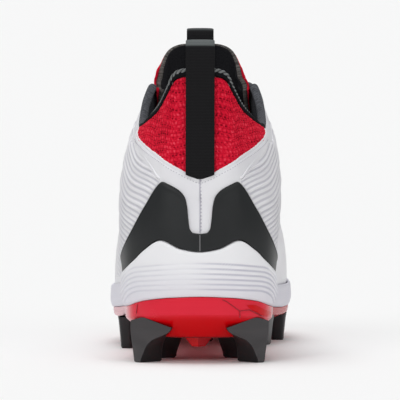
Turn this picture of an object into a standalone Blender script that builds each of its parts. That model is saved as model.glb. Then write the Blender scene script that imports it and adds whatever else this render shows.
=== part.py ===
"""A left american football cleat of mid height with moulded studs, about US men's size 10.

Lengths are in metres. The toe points to +Y, the big toe's side is +X, and the studs stand on z = 0.
The upper's outside is one function of two places: round the shoe (0 at the back of the heel, 1 at the
toe along the inner side, 2 back at the heel along the outer side) and up the wall (-1 at the footbed,
0 at the lip of the midsole, 1 at the edge of collar and throat). Overlays are cut from that function.
"""

import math
from collections import namedtuple

import bmesh
import bpy
from mathutils import Vector

# Driving sizes of the shoe
LENGTH = 0.2930
BALL_WIDTH = 0.1025
COLLAR_HEIGHT = 0.1570
STUD_HEIGHT = 0.0134
TOE_SPRING = 0.0100
PLATE_HEIGHT = 0.0216
BED_HEIGHT = 0.0241
TONGUE_TOP = 0.1695
HEEL_LOOP_RISE = 0.0170
TONGUE_LOOP_RISE = 0.0097

# Walls, skins and the space between pieces that meet
CLEAR = 0.0003
UPPER_WALL = 0.0022
CUP_WALL = 0.0055
LIP_WALL = 0.0016
LIP_SETBACK = 0.0009
LIP_ROLL = 0.0022
RIB_DEPTH = 0.0007
RIBS = 6
RIB_FOOT = 0.0012
RIB_FIRST = 0.01
RIB_REACH = 0.5
MIDSOLE_OVERHANG = 0.0010
MIDSOLE_SWELL = 0.55
RIM_INSET = 0.0020
RIM_INSET_HEEL = 0.0042
CREASE_DEPTH = 0.0020
CREASE_BAND = 0.0012
BOWL_SHARE = 0.42
BELLY_INSET_HEEL = 0.0160
BELLY_INSET_TOE = 0.0105
TRAY_INSET_HEEL = 0.0190
TRAY_INSET_TOE = 0.0140
PLATE_FLOOR = 0.0040
PLATE_RIM = 0.0050
INSOLE_THICK = 0.0038
TONGUE_THICK = 0.0045
TONGUE_CROWN = 0.16
TONGUE_SHIFT = -0.0018
SKIN = 0.0009
BINDING_WIDE = 0.0048
BINDING_TALL = 0.0036
WEBBING_THICK = 0.0015
HEEL_WEBBING_WIDE = 0.0155
TONGUE_WEBBING_WIDE = 0.0148
PIPING_WIDE = 0.0016
SKIN_ROOM = 0.00048
LACE_WIDE = 0.0062
LACE_THICK = 0.0014
EYELET_BORE = 0.0042
EYELETS = 6
STUD_LONG = 0.0130
STUD_WIDE = 0.0070
STUD_LEAN = 0.0060
STUD_LEAN_BACK = 0.0040
STUD_CORNERS = 10

# How finely the forms are cut
AROUND = 64
ACROSS = 3
ROWS_UP = 8
FINE = 60

# Places on the shoe where pieces start and end: round it, or up its wall
EYESTAY_END = 15
BINDING_END = 13
BINDING_LOW = 0.985
HEEL_LOOP_HALF = 0.032
LOOP_FULLNESS = 0.8
HEEL_LOOP_INSIDE = (1.0, 0.93, 0.86)
TONGUE_FLANK = (0.76, 0.88, 1.0)
TONGUE_MIDDLE = 5
TONGUE_STATIONS = (32, 31, 30, 29, 28, 26, 24, 22, 20, 18, 17, 16, 15)
TONGUE_FREE_ROWS = 4
EYESTAY_LOW = 0.82
EYESTAY_HIGH = 0.975
EYELET_UP = 0.91
EYELET_TOP = 0.50
EYELET_FRONT = 0.87

# Outline of the sole, seen from above: along is a share of the length, out is a share of the ball width
Edge = namedtuple("Edge", "along out")
INNER_EDGE = [
    Edge(0.0000, 0.000),
    Edge(0.0160, 0.210),
    Edge(0.0650, 0.357),
    Edge(0.1310, 0.405),
    Edge(0.2120, 0.400),
    Edge(0.3060, 0.364),
    Edge(0.4010, 0.343),
    Edge(0.4930, 0.360),
    Edge(0.5950, 0.425),
    Edge(0.6900, 0.472),
    Edge(0.7760, 0.468),
    Edge(0.8570, 0.430),
    Edge(0.9260, 0.368),
    Edge(0.9790, 0.262),
    Edge(1.0000, 0.040),
]
OUTER_EDGE = [
    Edge(0.0000, 0.000),
    Edge(0.0160, -0.215),
    Edge(0.0650, -0.368),
    Edge(0.1310, -0.427),
    Edge(0.2120, -0.433),
    Edge(0.3060, -0.416),
    Edge(0.4010, -0.426),
    Edge(0.4930, -0.478),
    Edge(0.5850, -0.525),
    Edge(0.6800, -0.523),
    Edge(0.7650, -0.486),
    Edge(0.8470, -0.412),
    Edge(0.9150, -0.328),
    Edge(0.9740, -0.190),
    Edge(1.0000, 0.040),
]

# The sole's layers at its edge: spring lifts the belly as a share of the toe spring, crease and rim are shares
# of the plate's height over the belly, and bed is a share of the bed's height over it
Level = namedtuple("Level", "place spring crease rim bed")
LEVELS = [
    Level(0.00, 0.000, 0.550, 1.040, 1.001),
    Level(0.05, 0.000, 0.540, 1.010, 0.995),
    Level(0.10, 0.000, 0.490, 0.930, 0.979),
    Level(0.16, 0.010, 0.410, 0.760, 0.950),
    Level(0.25, 0.027, 0.360, 0.640, 0.901),
    Level(0.40, 0.134, 0.248, 0.490, 0.734),
    Level(0.52, 0.000, 0.174, 0.390, 0.623),
    Level(0.62, -0.134, 0.174, 0.365, 0.606),
    Level(0.72, -0.134, 0.186, 0.380, 0.628),
    Level(0.82, 0.067, 0.217, 0.440, 0.678),
    Level(0.92, 0.563, 0.248, 0.484, 0.706),
    Level(1.00, 1.005, 0.254, 0.496, 0.723),
]

# Top edge of the midsole: height as a share of the collar height
Lip = namedtuple("Lip", "place height")
LIP = [
    Lip(0.000, 0.382),
    Lip(0.030, 0.391),
    Lip(0.066, 0.420),
    Lip(0.098, 0.387),
    Lip(0.124, 0.350),
    Lip(0.155, 0.322),
    Lip(0.220, 0.292),
    Lip(0.310, 0.266),
    Lip(0.420, 0.243),
    Lip(0.520, 0.222),
    Lip(0.620, 0.210),
    Lip(0.720, 0.212),
    Lip(0.820, 0.232),
    Lip(0.920, 0.272),
    Lip(1.000, 0.315),
]

# Edge of collar and throat: half is a share of the ball width, along of the length, height of the collar height
Brim = namedtuple("Brim", "place half along height")
BRIM = [
    Brim(0.000, 0.000, 0.0380, 0.973),
    Brim(0.040, 0.094, 0.0430, 0.964),
    Brim(0.080, 0.176, 0.0600, 0.915),
    Brim(0.120, 0.234, 0.0940, 0.845),
    Brim(0.170, 0.284, 0.1450, 0.797),
    Brim(0.240, 0.310, 0.2120, 0.780),
    Brim(0.310, 0.318, 0.2780, 0.800),
    Brim(0.370, 0.300, 0.3260, 0.868),
    Brim(0.420, 0.262, 0.3600, 0.928),
    Brim(0.460, 0.205, 0.3880, 0.930),
    Brim(0.510, 0.170, 0.4280, 0.872),
    Brim(0.600, 0.152, 0.5000, 0.750),
    Brim(0.700, 0.142, 0.5700, 0.640),
    Brim(0.800, 0.130, 0.6280, 0.556),
    Brim(0.900, 0.108, 0.6760, 0.500),
    Brim(0.960, 0.066, 0.6960, 0.480),
    Brim(1.000, 0.000, 0.7020, 0.474),
]

# How the wall swells between lip and brim: rise and drop are shares of the collar height, the others of ball width
Swell = namedtuple("Swell", "place rise bulge reach drop")
SWELL = [
    Swell(0.00, 0.190, 0.020, -0.045, 0.200),
    Swell(0.08, 0.180, 0.030, -0.012, 0.190),
    Swell(0.15, 0.205, 0.038, 0.062, 0.140),
    Swell(0.24, 0.225, 0.046, 0.118, 0.092),
    Swell(0.33, 0.225, 0.040, 0.125, 0.130),
    Swell(0.42, 0.250, 0.024, 0.140, 0.210),
    Swell(0.50, 0.250, 0.010, 0.190, 0.160),
    Swell(0.60, 0.215, 0.008, 0.235, 0.105),
    Swell(0.70, 0.175, 0.008, 0.245, 0.066),
    Swell(0.80, 0.150, 0.002, 0.262, 0.046),
    Swell(0.90, 0.132, -0.004, 0.340, 0.036),
    Swell(1.00, 0.128, -0.016, 0.480, 0.040),
]

# Top line of the heel counter, and lower line of the knit cuff: heights as shares of the collar height
Line = namedtuple("Line", "place height")
COUNTER_LINE = [
    Line(0.000, 0.446),
    Line(0.009, 0.449),
    Line(0.014, 0.462),
    Line(0.017, 0.500),
    Line(0.020, 0.538),
    Line(0.025, 0.570),
    Line(0.037, 0.594),
    Line(0.055, 0.614),
    Line(0.068, 0.621),
    Line(0.078, 0.606),
    Line(0.105, 0.525),
    Line(0.135, 0.444),
    Line(0.165, 0.398),
    Line(0.220, 0.350),
    Line(0.300, 0.306),
    Line(0.400, 0.262),
]
CUFF_LINE = [
    Line(0.000, 0.632),
    Line(0.022, 0.647),
    Line(0.048, 0.672),
    Line(0.072, 0.697),
    Line(0.098, 0.722),
    Line(0.122, 0.746),
    Line(0.146, 0.766),
    Line(0.172, 0.778),
]
PIPING_LINE = [
    Line(0.076, 0.634),
    Line(0.100, 0.660),
    Line(0.125, 0.690),
    Line(0.150, 0.719),
    Line(0.175, 0.741),
    Line(0.200, 0.753),
]

# Free top edge of the tongue, from its middle (0) to its corners (1), and where its shoulders pass the collar
Crest = namedtuple("Crest", "place half along height")
CREST = [
    Crest(0.0, 0.000, 0.3920, 1.000),
    Crest(0.2, 0.060, 0.3915, 0.998),
    Crest(0.4, 0.124, 0.3890, 0.990),
    Crest(0.6, 0.186, 0.3840, 0.966),
    Crest(0.8, 0.232, 0.3770, 0.934),
    Crest(1.0, 0.252, 0.3680, 0.900),
]
SHOULDER = (0.425, 0.440, 0.455)
SHOULDER_UP = 0.97
SHOULDER_STEP = (0.0, -0.0012, 0.0040)

# Studs: x is a share of the ball width, y of the length. long, wide and lean are shares of the stud sizes, turn
# is in degrees, flare is the growth at the root, foot is a share of the stud height and root of the plate's height
Stud = namedtuple("Stud", "name x y long wide turn flare foot root lean")
STUDS = [
    Stud("heel_stud_rear_inner", 0.281, 0.070, 1.35, 0.90, 54.0, 1.20, 0.0, 0.486, -1.0),
    Stud("heel_stud_rear_outer", -0.294, 0.070, 1.35, 0.90, -54.0, 1.20, 0.0, 0.486, 1.0),
    Stud("heel_stud_front_inner", 0.215, 0.180, 1.62, 1.11, -20.0, 1.26, 0.0, 0.185, -0.5),
    Stud("heel_stud_front_outer", -0.235, 0.180, 1.62, 1.11, 20.0, 1.26, 0.0, 0.185, 0.5),
    Stud("forefoot_stud_outer_1", -0.418, 0.462, 1.00, 0.97, 84.0, 1.40, 0.0, 0.162, 0.0),
    Stud("forefoot_stud_outer_2", -0.435, 0.592, 1.00, 1.00, 94.0, 1.40, 0.0, 0.162, 0.0),
    Stud("forefoot_stud_outer_3", -0.402, 0.722, 1.00, 1.00, 104.0, 1.40, 0.0, 0.162, 0.0),
    Stud("forefoot_stud_outer_4", -0.272, 0.850, 0.96, 0.97, 122.0, 1.40, 0.0, 0.162, 0.0),
    Stud("forefoot_stud_inner_1", 0.322, 0.560, 1.00, 1.00, 76.0, 1.40, 0.0, 0.162, 0.0),
    Stud("forefoot_stud_inner_2", 0.396, 0.712, 1.00, 1.09, 90.0, 1.40, 0.0, 0.162, 0.0),
    Stud("forefoot_stud_inner_3", 0.340, 0.838, 0.96, 0.97, 68.0, 1.40, 0.0, 0.162, 0.0),
    Stud("forefoot_stud_middle", -0.020, 0.655, 0.92, 1.00, 0.0, 1.40, 0.0, 0.162, 0.0),
    Stud("toe_stud", 0.050, 0.920, 0.92, 0.97, 0.0, 1.36, 0.0, 0.162, 0.0),
    Stud("heel_nub", -0.010, 0.085, 0.65, 0.86, 0.0, 1.80, 0.60, 0.139, 0.0),
]

# How a stud grows from its tip (0) to its root (1): spread of its flare, and how far its inner side leans in
Growth = namedtuple("Growth", "share size flare lean")
STUD_GROWTH = [
    Growth(0.00, 0.88, 0.0, 0.00),
    Growth(0.07, 1.00, 0.0, 0.00),
    Growth(1.00, 1.00, 1.0, 1.00),
]
WING_GROWTH = [
    Growth(0.00, 0.88, 0.0, 0.00),
    Growth(0.06, 1.00, 0.0, 0.00),
    Growth(0.45, 1.00, 0.1, 0.06),
    Growth(0.72, 1.00, 0.4, 0.36),
    Growth(1.00, 1.00, 1.0, 1.00),
]

# Colours, with roughness
Finish = namedtuple("Finish", "name colour rough")
WHITE_SKIN = Finish("white_skin", (0.78, 0.78, 0.80), 0.45)
WHITE_FOAM = Finish("white_foam", (0.86, 0.86, 0.86), 0.55)
RED_KNIT = Finish("red_knit", (0.62, 0.02, 0.03), 0.85)
BLACK_SKIN = Finish("black_skin", (0.030, 0.032, 0.036), 0.42)
BLACK_WEBBING = Finish("black_webbing", (0.028, 0.028, 0.030), 0.80)
DARK_LINING = Finish("dark_lining", (0.060, 0.060, 0.064), 0.90)
RED_PLATE = Finish("red_plate", (0.58, 0.005, 0.02), 0.25)
DARK_STUD = Finish("dark_stud", (0.055, 0.050, 0.052), 0.38)
RED_NUB = Finish("red_nub", (0.55, 0.010, 0.02), 0.35)
WHITE_LACE = Finish("white_lace", (0.80, 0.80, 0.81), 0.80)


def clear_scene():
    """Removes what the startup file holds."""
    for thing in list(bpy.data.objects):
        bpy.data.objects.remove(thing, do_unlink=True)


def smooth_table(rows, column, place):
    """A column's value at a place: a smooth curve through the rows that never overshoots them."""
    xs = [row.place for row in rows]
    ys = [getattr(row, column) for row in rows]
    if place <= xs[0]:
        return ys[0]
    if place >= xs[-1]:
        return ys[-1]
    k = max(i for i in range(len(xs) - 1) if xs[i] <= place)
    step = [xs[i + 1] - xs[i] for i in range(len(xs) - 1)]
    rate = [(ys[i + 1] - ys[i]) / step[i] for i in range(len(xs) - 1)]

    def slope(i):
        if i in (0, len(xs) - 1):
            return 0.0
        if rate[i - 1] * rate[i] <= 0.0:
            return 0.0
        return 2.0 * rate[i - 1] * rate[i] / (rate[i - 1] + rate[i])

    t = (place - xs[k]) / step[k]
    low = (1 + 2 * t) * (1 - t) ** 2 * ys[k] + t * (1 - t) ** 2 * step[k] * slope(k)
    return low + t * t * (3 - 2 * t) * ys[k + 1] - t * t * (1 - t) * step[k] * slope(k + 1)


def between_points(before, start, end, after, t):
    """A point on the smooth curve from start to end that also heeds its neighbours."""
    return 0.5 * (
        2 * start
        + (end - before) * t
        + (2 * before - 5 * start + 4 * end - after) * t * t
        + (3 * start - before - 3 * end + after) * t**3
    )


def side_of_outline(edges, other):
    """A fine chain of points along one side of the sole, heel to toe, with the length run so far."""
    corners = [Vector((edge.out * BALL_WIDTH, edge.along * LENGTH)) for edge in edges]
    opposite = [Vector((edge.out * BALL_WIDTH, edge.along * LENGTH)) for edge in other]
    padded = [opposite[1]] + corners + [opposite[-2]]
    points = []
    for k in range(1, len(padded) - 2):
        for step in range(FINE):
            points.append(between_points(*padded[k - 1 : k + 3], step / FINE))
    points.append(corners[-1])
    run = [0.0]
    for k in range(1, len(points)):
        run.append(run[-1] + (points[k] - points[k - 1]).length)
    return points, run


INNER_SIDE = side_of_outline(INNER_EDGE, OUTER_EDGE)
OUTER_SIDE = side_of_outline(OUTER_EDGE, INNER_EDGE)


def side_place(around):
    """The share of the way from heel to toe on either side."""
    around = around % 2.0
    return around if around <= 1.0 else 2.0 - around


def outline(around):
    """The sole's edge in plan, at a place round the shoe."""
    points, run = INNER_SIDE if around % 2.0 <= 1.0 else OUTER_SIDE
    target = side_place(around) * run[-1]
    low, high = 0, len(run) - 1
    while high - low > 1:
        middle = (low + high) // 2
        if run[middle] <= target:
            low = middle
        else:
            high = middle
    share = (target - run[low]) / max(run[high] - run[low], 1e-9)
    return points[low].lerp(points[high], share)


def outward(around):
    """The plan direction that points straight out of the sole's edge."""
    reach = 0.006
    run = outline(around + reach) - outline(around - reach)
    return Vector((run.y, -run.x)).normalized()


def level(around, name):
    """The height of one of the sole's layers at its edge."""
    place = side_place(around)
    belly = STUD_HEIGHT + smooth_table(LEVELS, "spring", place) * TOE_SPRING
    if name == "belly":
        return belly
    size = BED_HEIGHT if name == "bed" else PLATE_HEIGHT
    return belly + smooth_table(LEVELS, name, place) * size


def lip_height(around):
    """The height of the midsole's top edge."""
    return smooth_table(LIP, "height", side_place(around)) * COLLAR_HEIGHT


def edge_point(around, inset, height):
    """A point that lies a distance inside the sole's edge, at a height."""
    flat = outline(around) - outward(around) * inset
    return Vector((flat.x, flat.y, height))


def brim_point(around):
    """The edge of collar and throat."""
    place = side_place(around)
    k = max(i for i in range(len(BRIM) - 1) if BRIM[i].place <= place)
    before = BRIM[k - 1] if k > 0 else BRIM[1]._replace(half=-BRIM[1].half)
    after = BRIM[k + 2] if k + 2 < len(BRIM) else BRIM[-2]._replace(half=-BRIM[-2].half)
    spots = [Vector((r.half * BALL_WIDTH, r.along * LENGTH, r.height * COLLAR_HEIGHT))
             for r in (before, BRIM[k], BRIM[k + 1], after)]
    share = (place - BRIM[k].place) / (BRIM[k + 1].place - BRIM[k].place)
    spot = between_points(*spots, share)
    if around % 2.0 > 1.0:
        spot.x = -spot.x
    return spot


def cup_inset(share):
    """How far the upper's outside lies inside the sole's edge, from the footbed (0) up to the lip (1)."""
    low = CUP_WALL + 1.5 * CLEAR
    high = LIP_WALL + LIP_SETBACK + 1.2 * CLEAR
    return low + (high - low) * share


def wall_point(around, up):
    """The upper's outside surface."""
    lip = lip_height(around)
    if up <= 0.0:
        share = up + 1.0
        bed = level(around, "bed") + CLEAR
        return edge_point(around, cup_inset(share), bed + (lip - bed) * share)
    place = side_place(around)
    out = outward(around).to_3d()
    start = edge_point(around, cup_inset(1.0), lip)
    end = brim_point(around)
    sizes = {name: smooth_table(SWELL, name, place) for name in Swell._fields[1:]}
    first = start + out * sizes["bulge"] * BALL_WIDTH
    first.z += sizes["rise"] * COLLAR_HEIGHT
    second = end + out * sizes["reach"] * BALL_WIDTH
    second.z -= sizes["drop"] * COLLAR_HEIGHT
    left = 1.0 - up
    return (left**3 * start + 3 * left * left * up * first
            + 3 * left * up * up * second + up**3 * end)


def wall_normal(around, up):
    """The direction straight out of the upper's surface."""
    step_round = 0.004
    step_up = 0.015
    low = max(up - step_up, -1.0)
    high = min(up + step_up, 1.0)
    if up < 0.0:
        high = min(high, 0.0)
    if up >= 0.0:
        low = max(low, 0.0)
    along = wall_point(around + step_round, up) - wall_point(around - step_round, up)
    rising = wall_point(around, high) - wall_point(around, low)
    return along.cross(rising).normalized()


def skin_point(around, up, lift):
    """A point lifted off the upper's surface, or sunk into it."""
    return wall_point(around, up) + wall_normal(around, up) * lift


def up_at_height(around, height):
    """How far up the wall a height is reached."""
    low, high = 0.0, 1.0
    for _ in range(30):
        middle = (low + high) / 2
        if wall_point(around, middle).z < height:
            low = middle
        else:
            high = middle
    return (low + high) / 2


def finish_material(finish):
    """The plain material of a finish."""
    found = bpy.data.materials.get(finish.name)
    if found:
        return found
    made = bpy.data.materials.new(finish.name)
    made.use_nodes = True
    shader = made.node_tree.nodes["Principled BSDF"]
    shader.inputs["Base Color"].default_value = (*finish.colour, 1.0)
    shader.inputs["Roughness"].default_value = finish.rough
    return made


def add_object(name, points, faces, finish):
    """A closed smooth-shaded object from points and faces, its faces turned outwards."""
    mesh = bpy.data.meshes.new(name)
    mesh.from_pydata([tuple(point) for point in points], [], faces)
    shape = bmesh.new()
    shape.from_mesh(mesh)
    bmesh.ops.remove_doubles(shape, verts=shape.verts, dist=1e-6)
    bmesh.ops.dissolve_degenerate(shape, edges=shape.edges, dist=1e-6)
    bmesh.ops.recalc_face_normals(shape, faces=shape.faces)
    shape.to_mesh(mesh)
    shape.free()
    mesh.shade_smooth()
    mesh.materials.append(finish_material(finish))
    made = bpy.data.objects.new(name, mesh)
    bpy.context.scene.collection.objects.link(made)
    return made


class Form:
    """Points and faces of one closed form while it is put together."""

    def __init__(self):
        self.points = []
        self.faces = []

    def row(self, points):
        """Adds points and returns their numbers."""
        first = len(self.points)
        self.points.extend(points)
        return list(range(first, len(self.points)))

    def strip(self, one, two, closed=True):
        """Faces between two rows: each is split the same way in pieces that nest, from its lower row."""
        last = len(one) if closed else len(one) - 1
        for k in range(last):
            n = (k + 1) % len(one)
            if self.points[one[k]].z <= self.points[two[k]].z:
                self.faces += [(one[k], one[n], two[n]), (one[k], two[n], two[k])]
            else:
                self.faces += [(two[k], one[k], one[n]), (two[k], one[n], two[n])]

    def ladder(self, ring, across=ACROSS):
        """Closes a ring by rungs that run from the inner side to the outer side."""
        count = len(ring)
        half = count // 2
        rungs = [[ring[0]] * (across + 1)]
        for k in range(1, half):
            left, right = ring[k], ring[count - k]
            rung = [left]
            for j in range(1, across):
                rung += self.row([self.points[left].lerp(self.points[right], j / across)])
            rungs.append(rung + [right])
        rungs.append([ring[half]] * (across + 1))
        for one, two in zip(rungs, rungs[1:]):
            for j in range(across):
                corners = dict.fromkeys((one[j], two[j], two[j + 1], one[j + 1]))
                self.faces.append(tuple(corners))

    def fill(self, ring):
        """Closes a small flat ring by one face."""
        self.faces.append(tuple(ring))

    def object(self, name, finish):
        """Makes the object."""
        return add_object(name, self.points, self.faces, finish)


def places_around(count=AROUND):
    """Evenly spaced places round the shoe, heel first."""
    return [2.0 * k / count for k in range(count)]


def ring_of(form, inset, height):
    """A ring inside the sole's edge: inset and height are functions of the place round it."""
    return form.row([edge_point(a, inset(a), height(a)) for a in places_around()])


def belly_inset(around):
    """How far the belly's edge lies inside the sole's edge."""
    return BELLY_INSET_HEEL + (BELLY_INSET_TOE - BELLY_INSET_HEEL) * side_place(around)


def tray_inset(around):
    """How far the tray's floor lies inside the sole's edge."""
    return TRAY_INSET_HEEL + (TRAY_INSET_TOE - TRAY_INSET_HEEL) * side_place(around)


def rim_inset(around):
    """How far the plate's rim lies inside the sole's edge: deeper round the heel."""
    return RIM_INSET + (RIM_INSET_HEEL - RIM_INSET) * max(0.0, 1.0 - side_place(around) / 0.4)


def plate_form(grow, tray=True):
    """The plate: a belly, a crease under the rim, and a tray that holds the midsole."""
    form = Form()
    def bowl_inset(around):
        return (belly_inset(around) + rim_inset(around) + CREASE_DEPTH) / 2

    def bowl_height(around):
        return level(around, "belly") + BOWL_SHARE * (level(around, "crease") - level(around, "belly"))

    belly = ring_of(form, lambda a: belly_inset(a) - grow, lambda a: level(a, "belly") - grow)
    bowl = ring_of(form, lambda a: bowl_inset(a) - grow, lambda a: bowl_height(a) - grow)
    crease = ring_of(form, lambda a: rim_inset(a) + CREASE_DEPTH - grow, lambda a: level(a, "crease") - grow)
    lower = ring_of(form, lambda a: rim_inset(a) - grow, lambda a: level(a, "crease") + CREASE_BAND - grow)
    rim = ring_of(form, lambda a: rim_inset(a) - grow, lambda a: level(a, "rim"))
    for one, two in ((belly, bowl), (bowl, crease), (crease, lower), (lower, rim)):
        form.strip(one, two)
    form.ladder(belly)
    if not tray:
        form.ladder(rim)
        return form
    inner = ring_of(form, lambda a: rim_inset(a) + PLATE_RIM, lambda a: level(a, "rim"))
    floor = ring_of(form, tray_inset, lambda a: level(a, "belly") + PLATE_FLOOR)
    form.strip(rim, inner)
    form.strip(inner, floor)
    form.ladder(floor)
    return form


def build_plate():
    """The red outsole plate."""
    plate_form(0.0).object("outsole_plate", RED_PLATE)


def side_inset(around, share, groove):
    """How far the midsole's side lies inside the sole's edge, from its foot (0) to its lip (1)."""
    fade = max(0.0, 1.0 - side_place(around) / RIB_REACH)
    foot = (rim_inset(around) - MIDSOLE_OVERHANG) * max(0.0, 1.0 - share / MIDSOLE_SWELL) ** 2
    return foot + LIP_SETBACK * 0.6 * share + groove * fade


def side_height(around, share):
    """The height of the midsole's side, from its foot (0) to its lip (1)."""
    low = level(around, "rim") + CLEAR + RIB_FOOT
    return low + (lip_height(around) - LIP_ROLL - low) * share


def build_midsole():
    """The white midsole: it fills the plate's tray, and its ribbed wall cups the upper's lower edge."""
    form = Form()
    floor = ring_of(form, lambda a: tray_inset(a) + CLEAR, lambda a: level(a, "belly") + PLATE_FLOOR + CLEAR)
    inner = ring_of(form, lambda a: rim_inset(a) + PLATE_RIM + CLEAR, lambda a: level(a, "rim") + CLEAR)
    rows = [floor, inner]
    rows.append(ring_of(form, lambda a: rim_inset(a) - CLEAR, lambda a: level(a, "rim") + CLEAR))
    for k in range(2 * RIBS + 1):
        share = RIB_FIRST + (1.0 - RIB_FIRST) * k / (2 * RIBS)
        groove = RIB_DEPTH if k % 2 == 0 and k < 2 * RIBS else 0.0
        rows.append(ring_of(form, lambda a: side_inset(a, share, groove), lambda a: side_height(a, share)))
    rows.append(ring_of(form, lambda a: LIP_SETBACK, lip_height))
    rows.append(ring_of(form, lambda a: LIP_SETBACK + LIP_WALL, lip_height))
    bed = ring_of(form, lambda a: CUP_WALL, lambda a: level(a, "bed"))
    rows.append(bed)
    for one, two in zip(rows, rows[1:]):
        form.strip(one, two)
    form.ladder(floor)
    form.ladder(bed)
    form.object("midsole", WHITE_FOAM)


def build_insole():
    """The loose insole on the footbed."""
    form = Form()
    inset = CUP_WALL + UPPER_WALL + 3 * CLEAR
    under = ring_of(form, lambda a: inset, lambda a: level(a, "bed") + CLEAR)
    top = ring_of(form, lambda a: inset + CLEAR, lambda a: level(a, "bed") + CLEAR + INSOLE_THICK)
    form.strip(under, top)
    form.ladder(under)
    form.ladder(top)
    form.object("insole", DARK_LINING)


def build_upper():
    """The hollow upper, open underneath and at collar and throat."""
    form = Form()
    steps = [-1.0, 0.0] + [(k + 1) / ROWS_UP for k in range(ROWS_UP)]
    outside = []
    inside = []
    for up in steps:
        outside.append(form.row([wall_point(a, up) for a in places_around()]))
    for up in steps[::-1]:
        inside.append(form.row([skin_point(a, up, -UPPER_WALL) for a in places_around()]))
    rows = outside + inside
    for k, one in enumerate(rows):
        form.strip(one, rows[(k + 1) % len(rows)])
    form.object("upper", WHITE_SKIN)


def patch(name, columns, low, high, finish, inside=CLEAR, thick=SKIN, rows=3):
    """A thin overlay on the upper: columns are places round it, low and high how far up it runs at each."""
    form = Form()
    faces = []
    for lift in (inside, inside + thick):
        grid = []
        for k in range(rows + 1):
            line = []
            for around in columns:
                start, end = low(around), high(around)
                line.append(skin_point(around, start + (end - start) * k / rows, lift))
            grid.append(form.row(line))
        faces.append(grid)
    under, over = faces
    for grid in (under, over):
        for one, two in zip(grid, grid[1:]):
            form.strip(one, two, closed=False)
    form.strip(under[0], over[0], closed=False)
    form.strip(under[-1], over[-1], closed=False)
    for end in (0, -1):
        form.strip([row[end] for row in under], [row[end] for row in over], closed=False)
    return form.object(name, finish)


def both_sides(places):
    """The table's places and the upper's own, on both sides of the heel, outer side first."""
    shared = [place for place in places_around() if place < places[-1]]
    near = 0.004
    kept = [place for place in shared if all(abs(place - other) > near for other in places)]
    merged = sorted(list(places) + kept)
    return [-place for place in merged[:0:-1]] + merged


def build_counter():
    """The smooth black wrap round the heel, with a notch for the white tab."""
    columns = both_sides([row.place for row in COUNTER_LINE])

    def top(around):
        return up_at_height(around, smooth_table(COUNTER_LINE, "height", side_place(around)) * COLLAR_HEIGHT)

    def foot(around):
        return up_at_height(around, lip_height(around) + 2 * CLEAR)

    patch("heel_counter", columns, foot, top, BLACK_SKIN)


def build_cuff():
    """The red knit at the back of the ankle, from its pointed lower line to the binding."""
    columns = both_sides([row.place for row in CUFF_LINE])

    def low(around):
        return up_at_height(around, smooth_table(CUFF_LINE, "height", side_place(around)) * COLLAR_HEIGHT)

    patch("knit_cuff", columns, low, lambda around: BINDING_LOW, RED_KNIT, inside=SKIN_ROOM, rows=5)


def ribbon(name, path, wide, thick, finish, centre=0.0):
    """Flat webbing of a width across X along a path in the plane of Y and Z."""
    form = Form()
    rows = []
    for k, point in enumerate(path):
        before = path[max(k - 1, 0)]
        after = path[min(k + 1, len(path) - 1)]
        run = (after - before).normalized()
        normal = Vector((0.0, run.z, -run.y)) * (thick / 2)
        side = Vector((wide / 2, 0.0, 0.0))
        middle = point + Vector((centre, 0.0, 0.0))
        rows.append(form.row([middle - side - normal, middle + side - normal,
                              middle + side + normal, middle - side + normal]))
    for one, two in zip(rows, rows[1:]):
        form.strip(one, two)
    form.fill(rows[0])
    form.fill(rows[-1][::-1])
    return form.object(name, finish)


def loop_over(outer_leg, inner_leg, top, steps=8):
    """Joins two legs by a round bend that reaches a height."""
    start, end = outer_leg[-1], inner_leg[0]
    base = max(start.z, end.z)
    bend = []
    for k in range(1, steps):
        angle = math.pi * k / steps
        along = math.copysign(abs(math.cos(angle)) ** LOOP_FULLNESS, math.cos(angle))
        rise = math.sin(angle) ** LOOP_FULLNESS
        middle = (start.y + end.y) / 2
        half = (start.y - end.y) / 2
        bend.append(Vector((0.0, middle + half * along, base + (top - base) * rise)))
    return outer_leg + bend + inner_leg


def build_heel_loop():
    """The webbing from the knit's point up the back of the ankle, over the collar and in."""
    over_cuff = 3 * CLEAR + SKIN + WEBBING_THICK / 2
    low = up_at_height(0.0, CUFF_LINE[0].height * COLLAR_HEIGHT + CLEAR)
    outer = []
    for k in range(8):
        outer.append(skin_point(0.0, low + (1.0 - low) * k / 7, over_cuff))
    rising = (wall_point(0.0, 1.0) - wall_point(0.0, 0.97)).normalized() * (BINDING_TALL + 2 * CLEAR)
    outer.append(outer[-1] + rising)
    curve = wall_point(HEEL_LOOP_HALF, 1.0).y - wall_point(0.0, 1.0).y
    inner_lift = -((UPPER_WALL + BINDING_WIDE + WEBBING_THICK) / 2 + curve + CLEAR)
    inner = [skin_point(0.0, up, inner_lift) for up in HEEL_LOOP_INSIDE]
    inner.insert(0, inner[0] + rising)
    path = loop_over(outer, inner, COLLAR_HEIGHT + HEEL_LOOP_RISE - WEBBING_THICK / 2)
    ribbon("heel_pull_loop", path, HEEL_WEBBING_WIDE, WEBBING_THICK, BLACK_WEBBING)


def build_binding():
    """The rounded black binding on the collar's edge, from one side of the throat round the heel to the other."""
    form = Form()
    corners = 6
    rows = []
    for k in range(-BINDING_END, BINDING_END + 1):
        around = 2.0 * k / AROUND
        edge = wall_point(around, 1.0)
        out = wall_normal(around, 1.0)
        rising = (edge - wall_point(around, BINDING_LOW)).normalized()
        centre = edge - out * UPPER_WALL / 2 + rising * (CLEAR + BINDING_TALL / 2)
        ring = []
        for c in range(corners):
            angle = 2 * math.pi * c / corners
            ring.append(centre + out * math.cos(angle) * BINDING_WIDE / 2 + rising * math.sin(angle) * BINDING_TALL / 2)
        rows.append(form.row(ring))
    for one, two in zip(rows, rows[1:]):
        form.strip(one, two)
    form.fill(rows[0])
    form.fill(rows[-1])
    form.object("collar_binding", BLACK_WEBBING)


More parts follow.
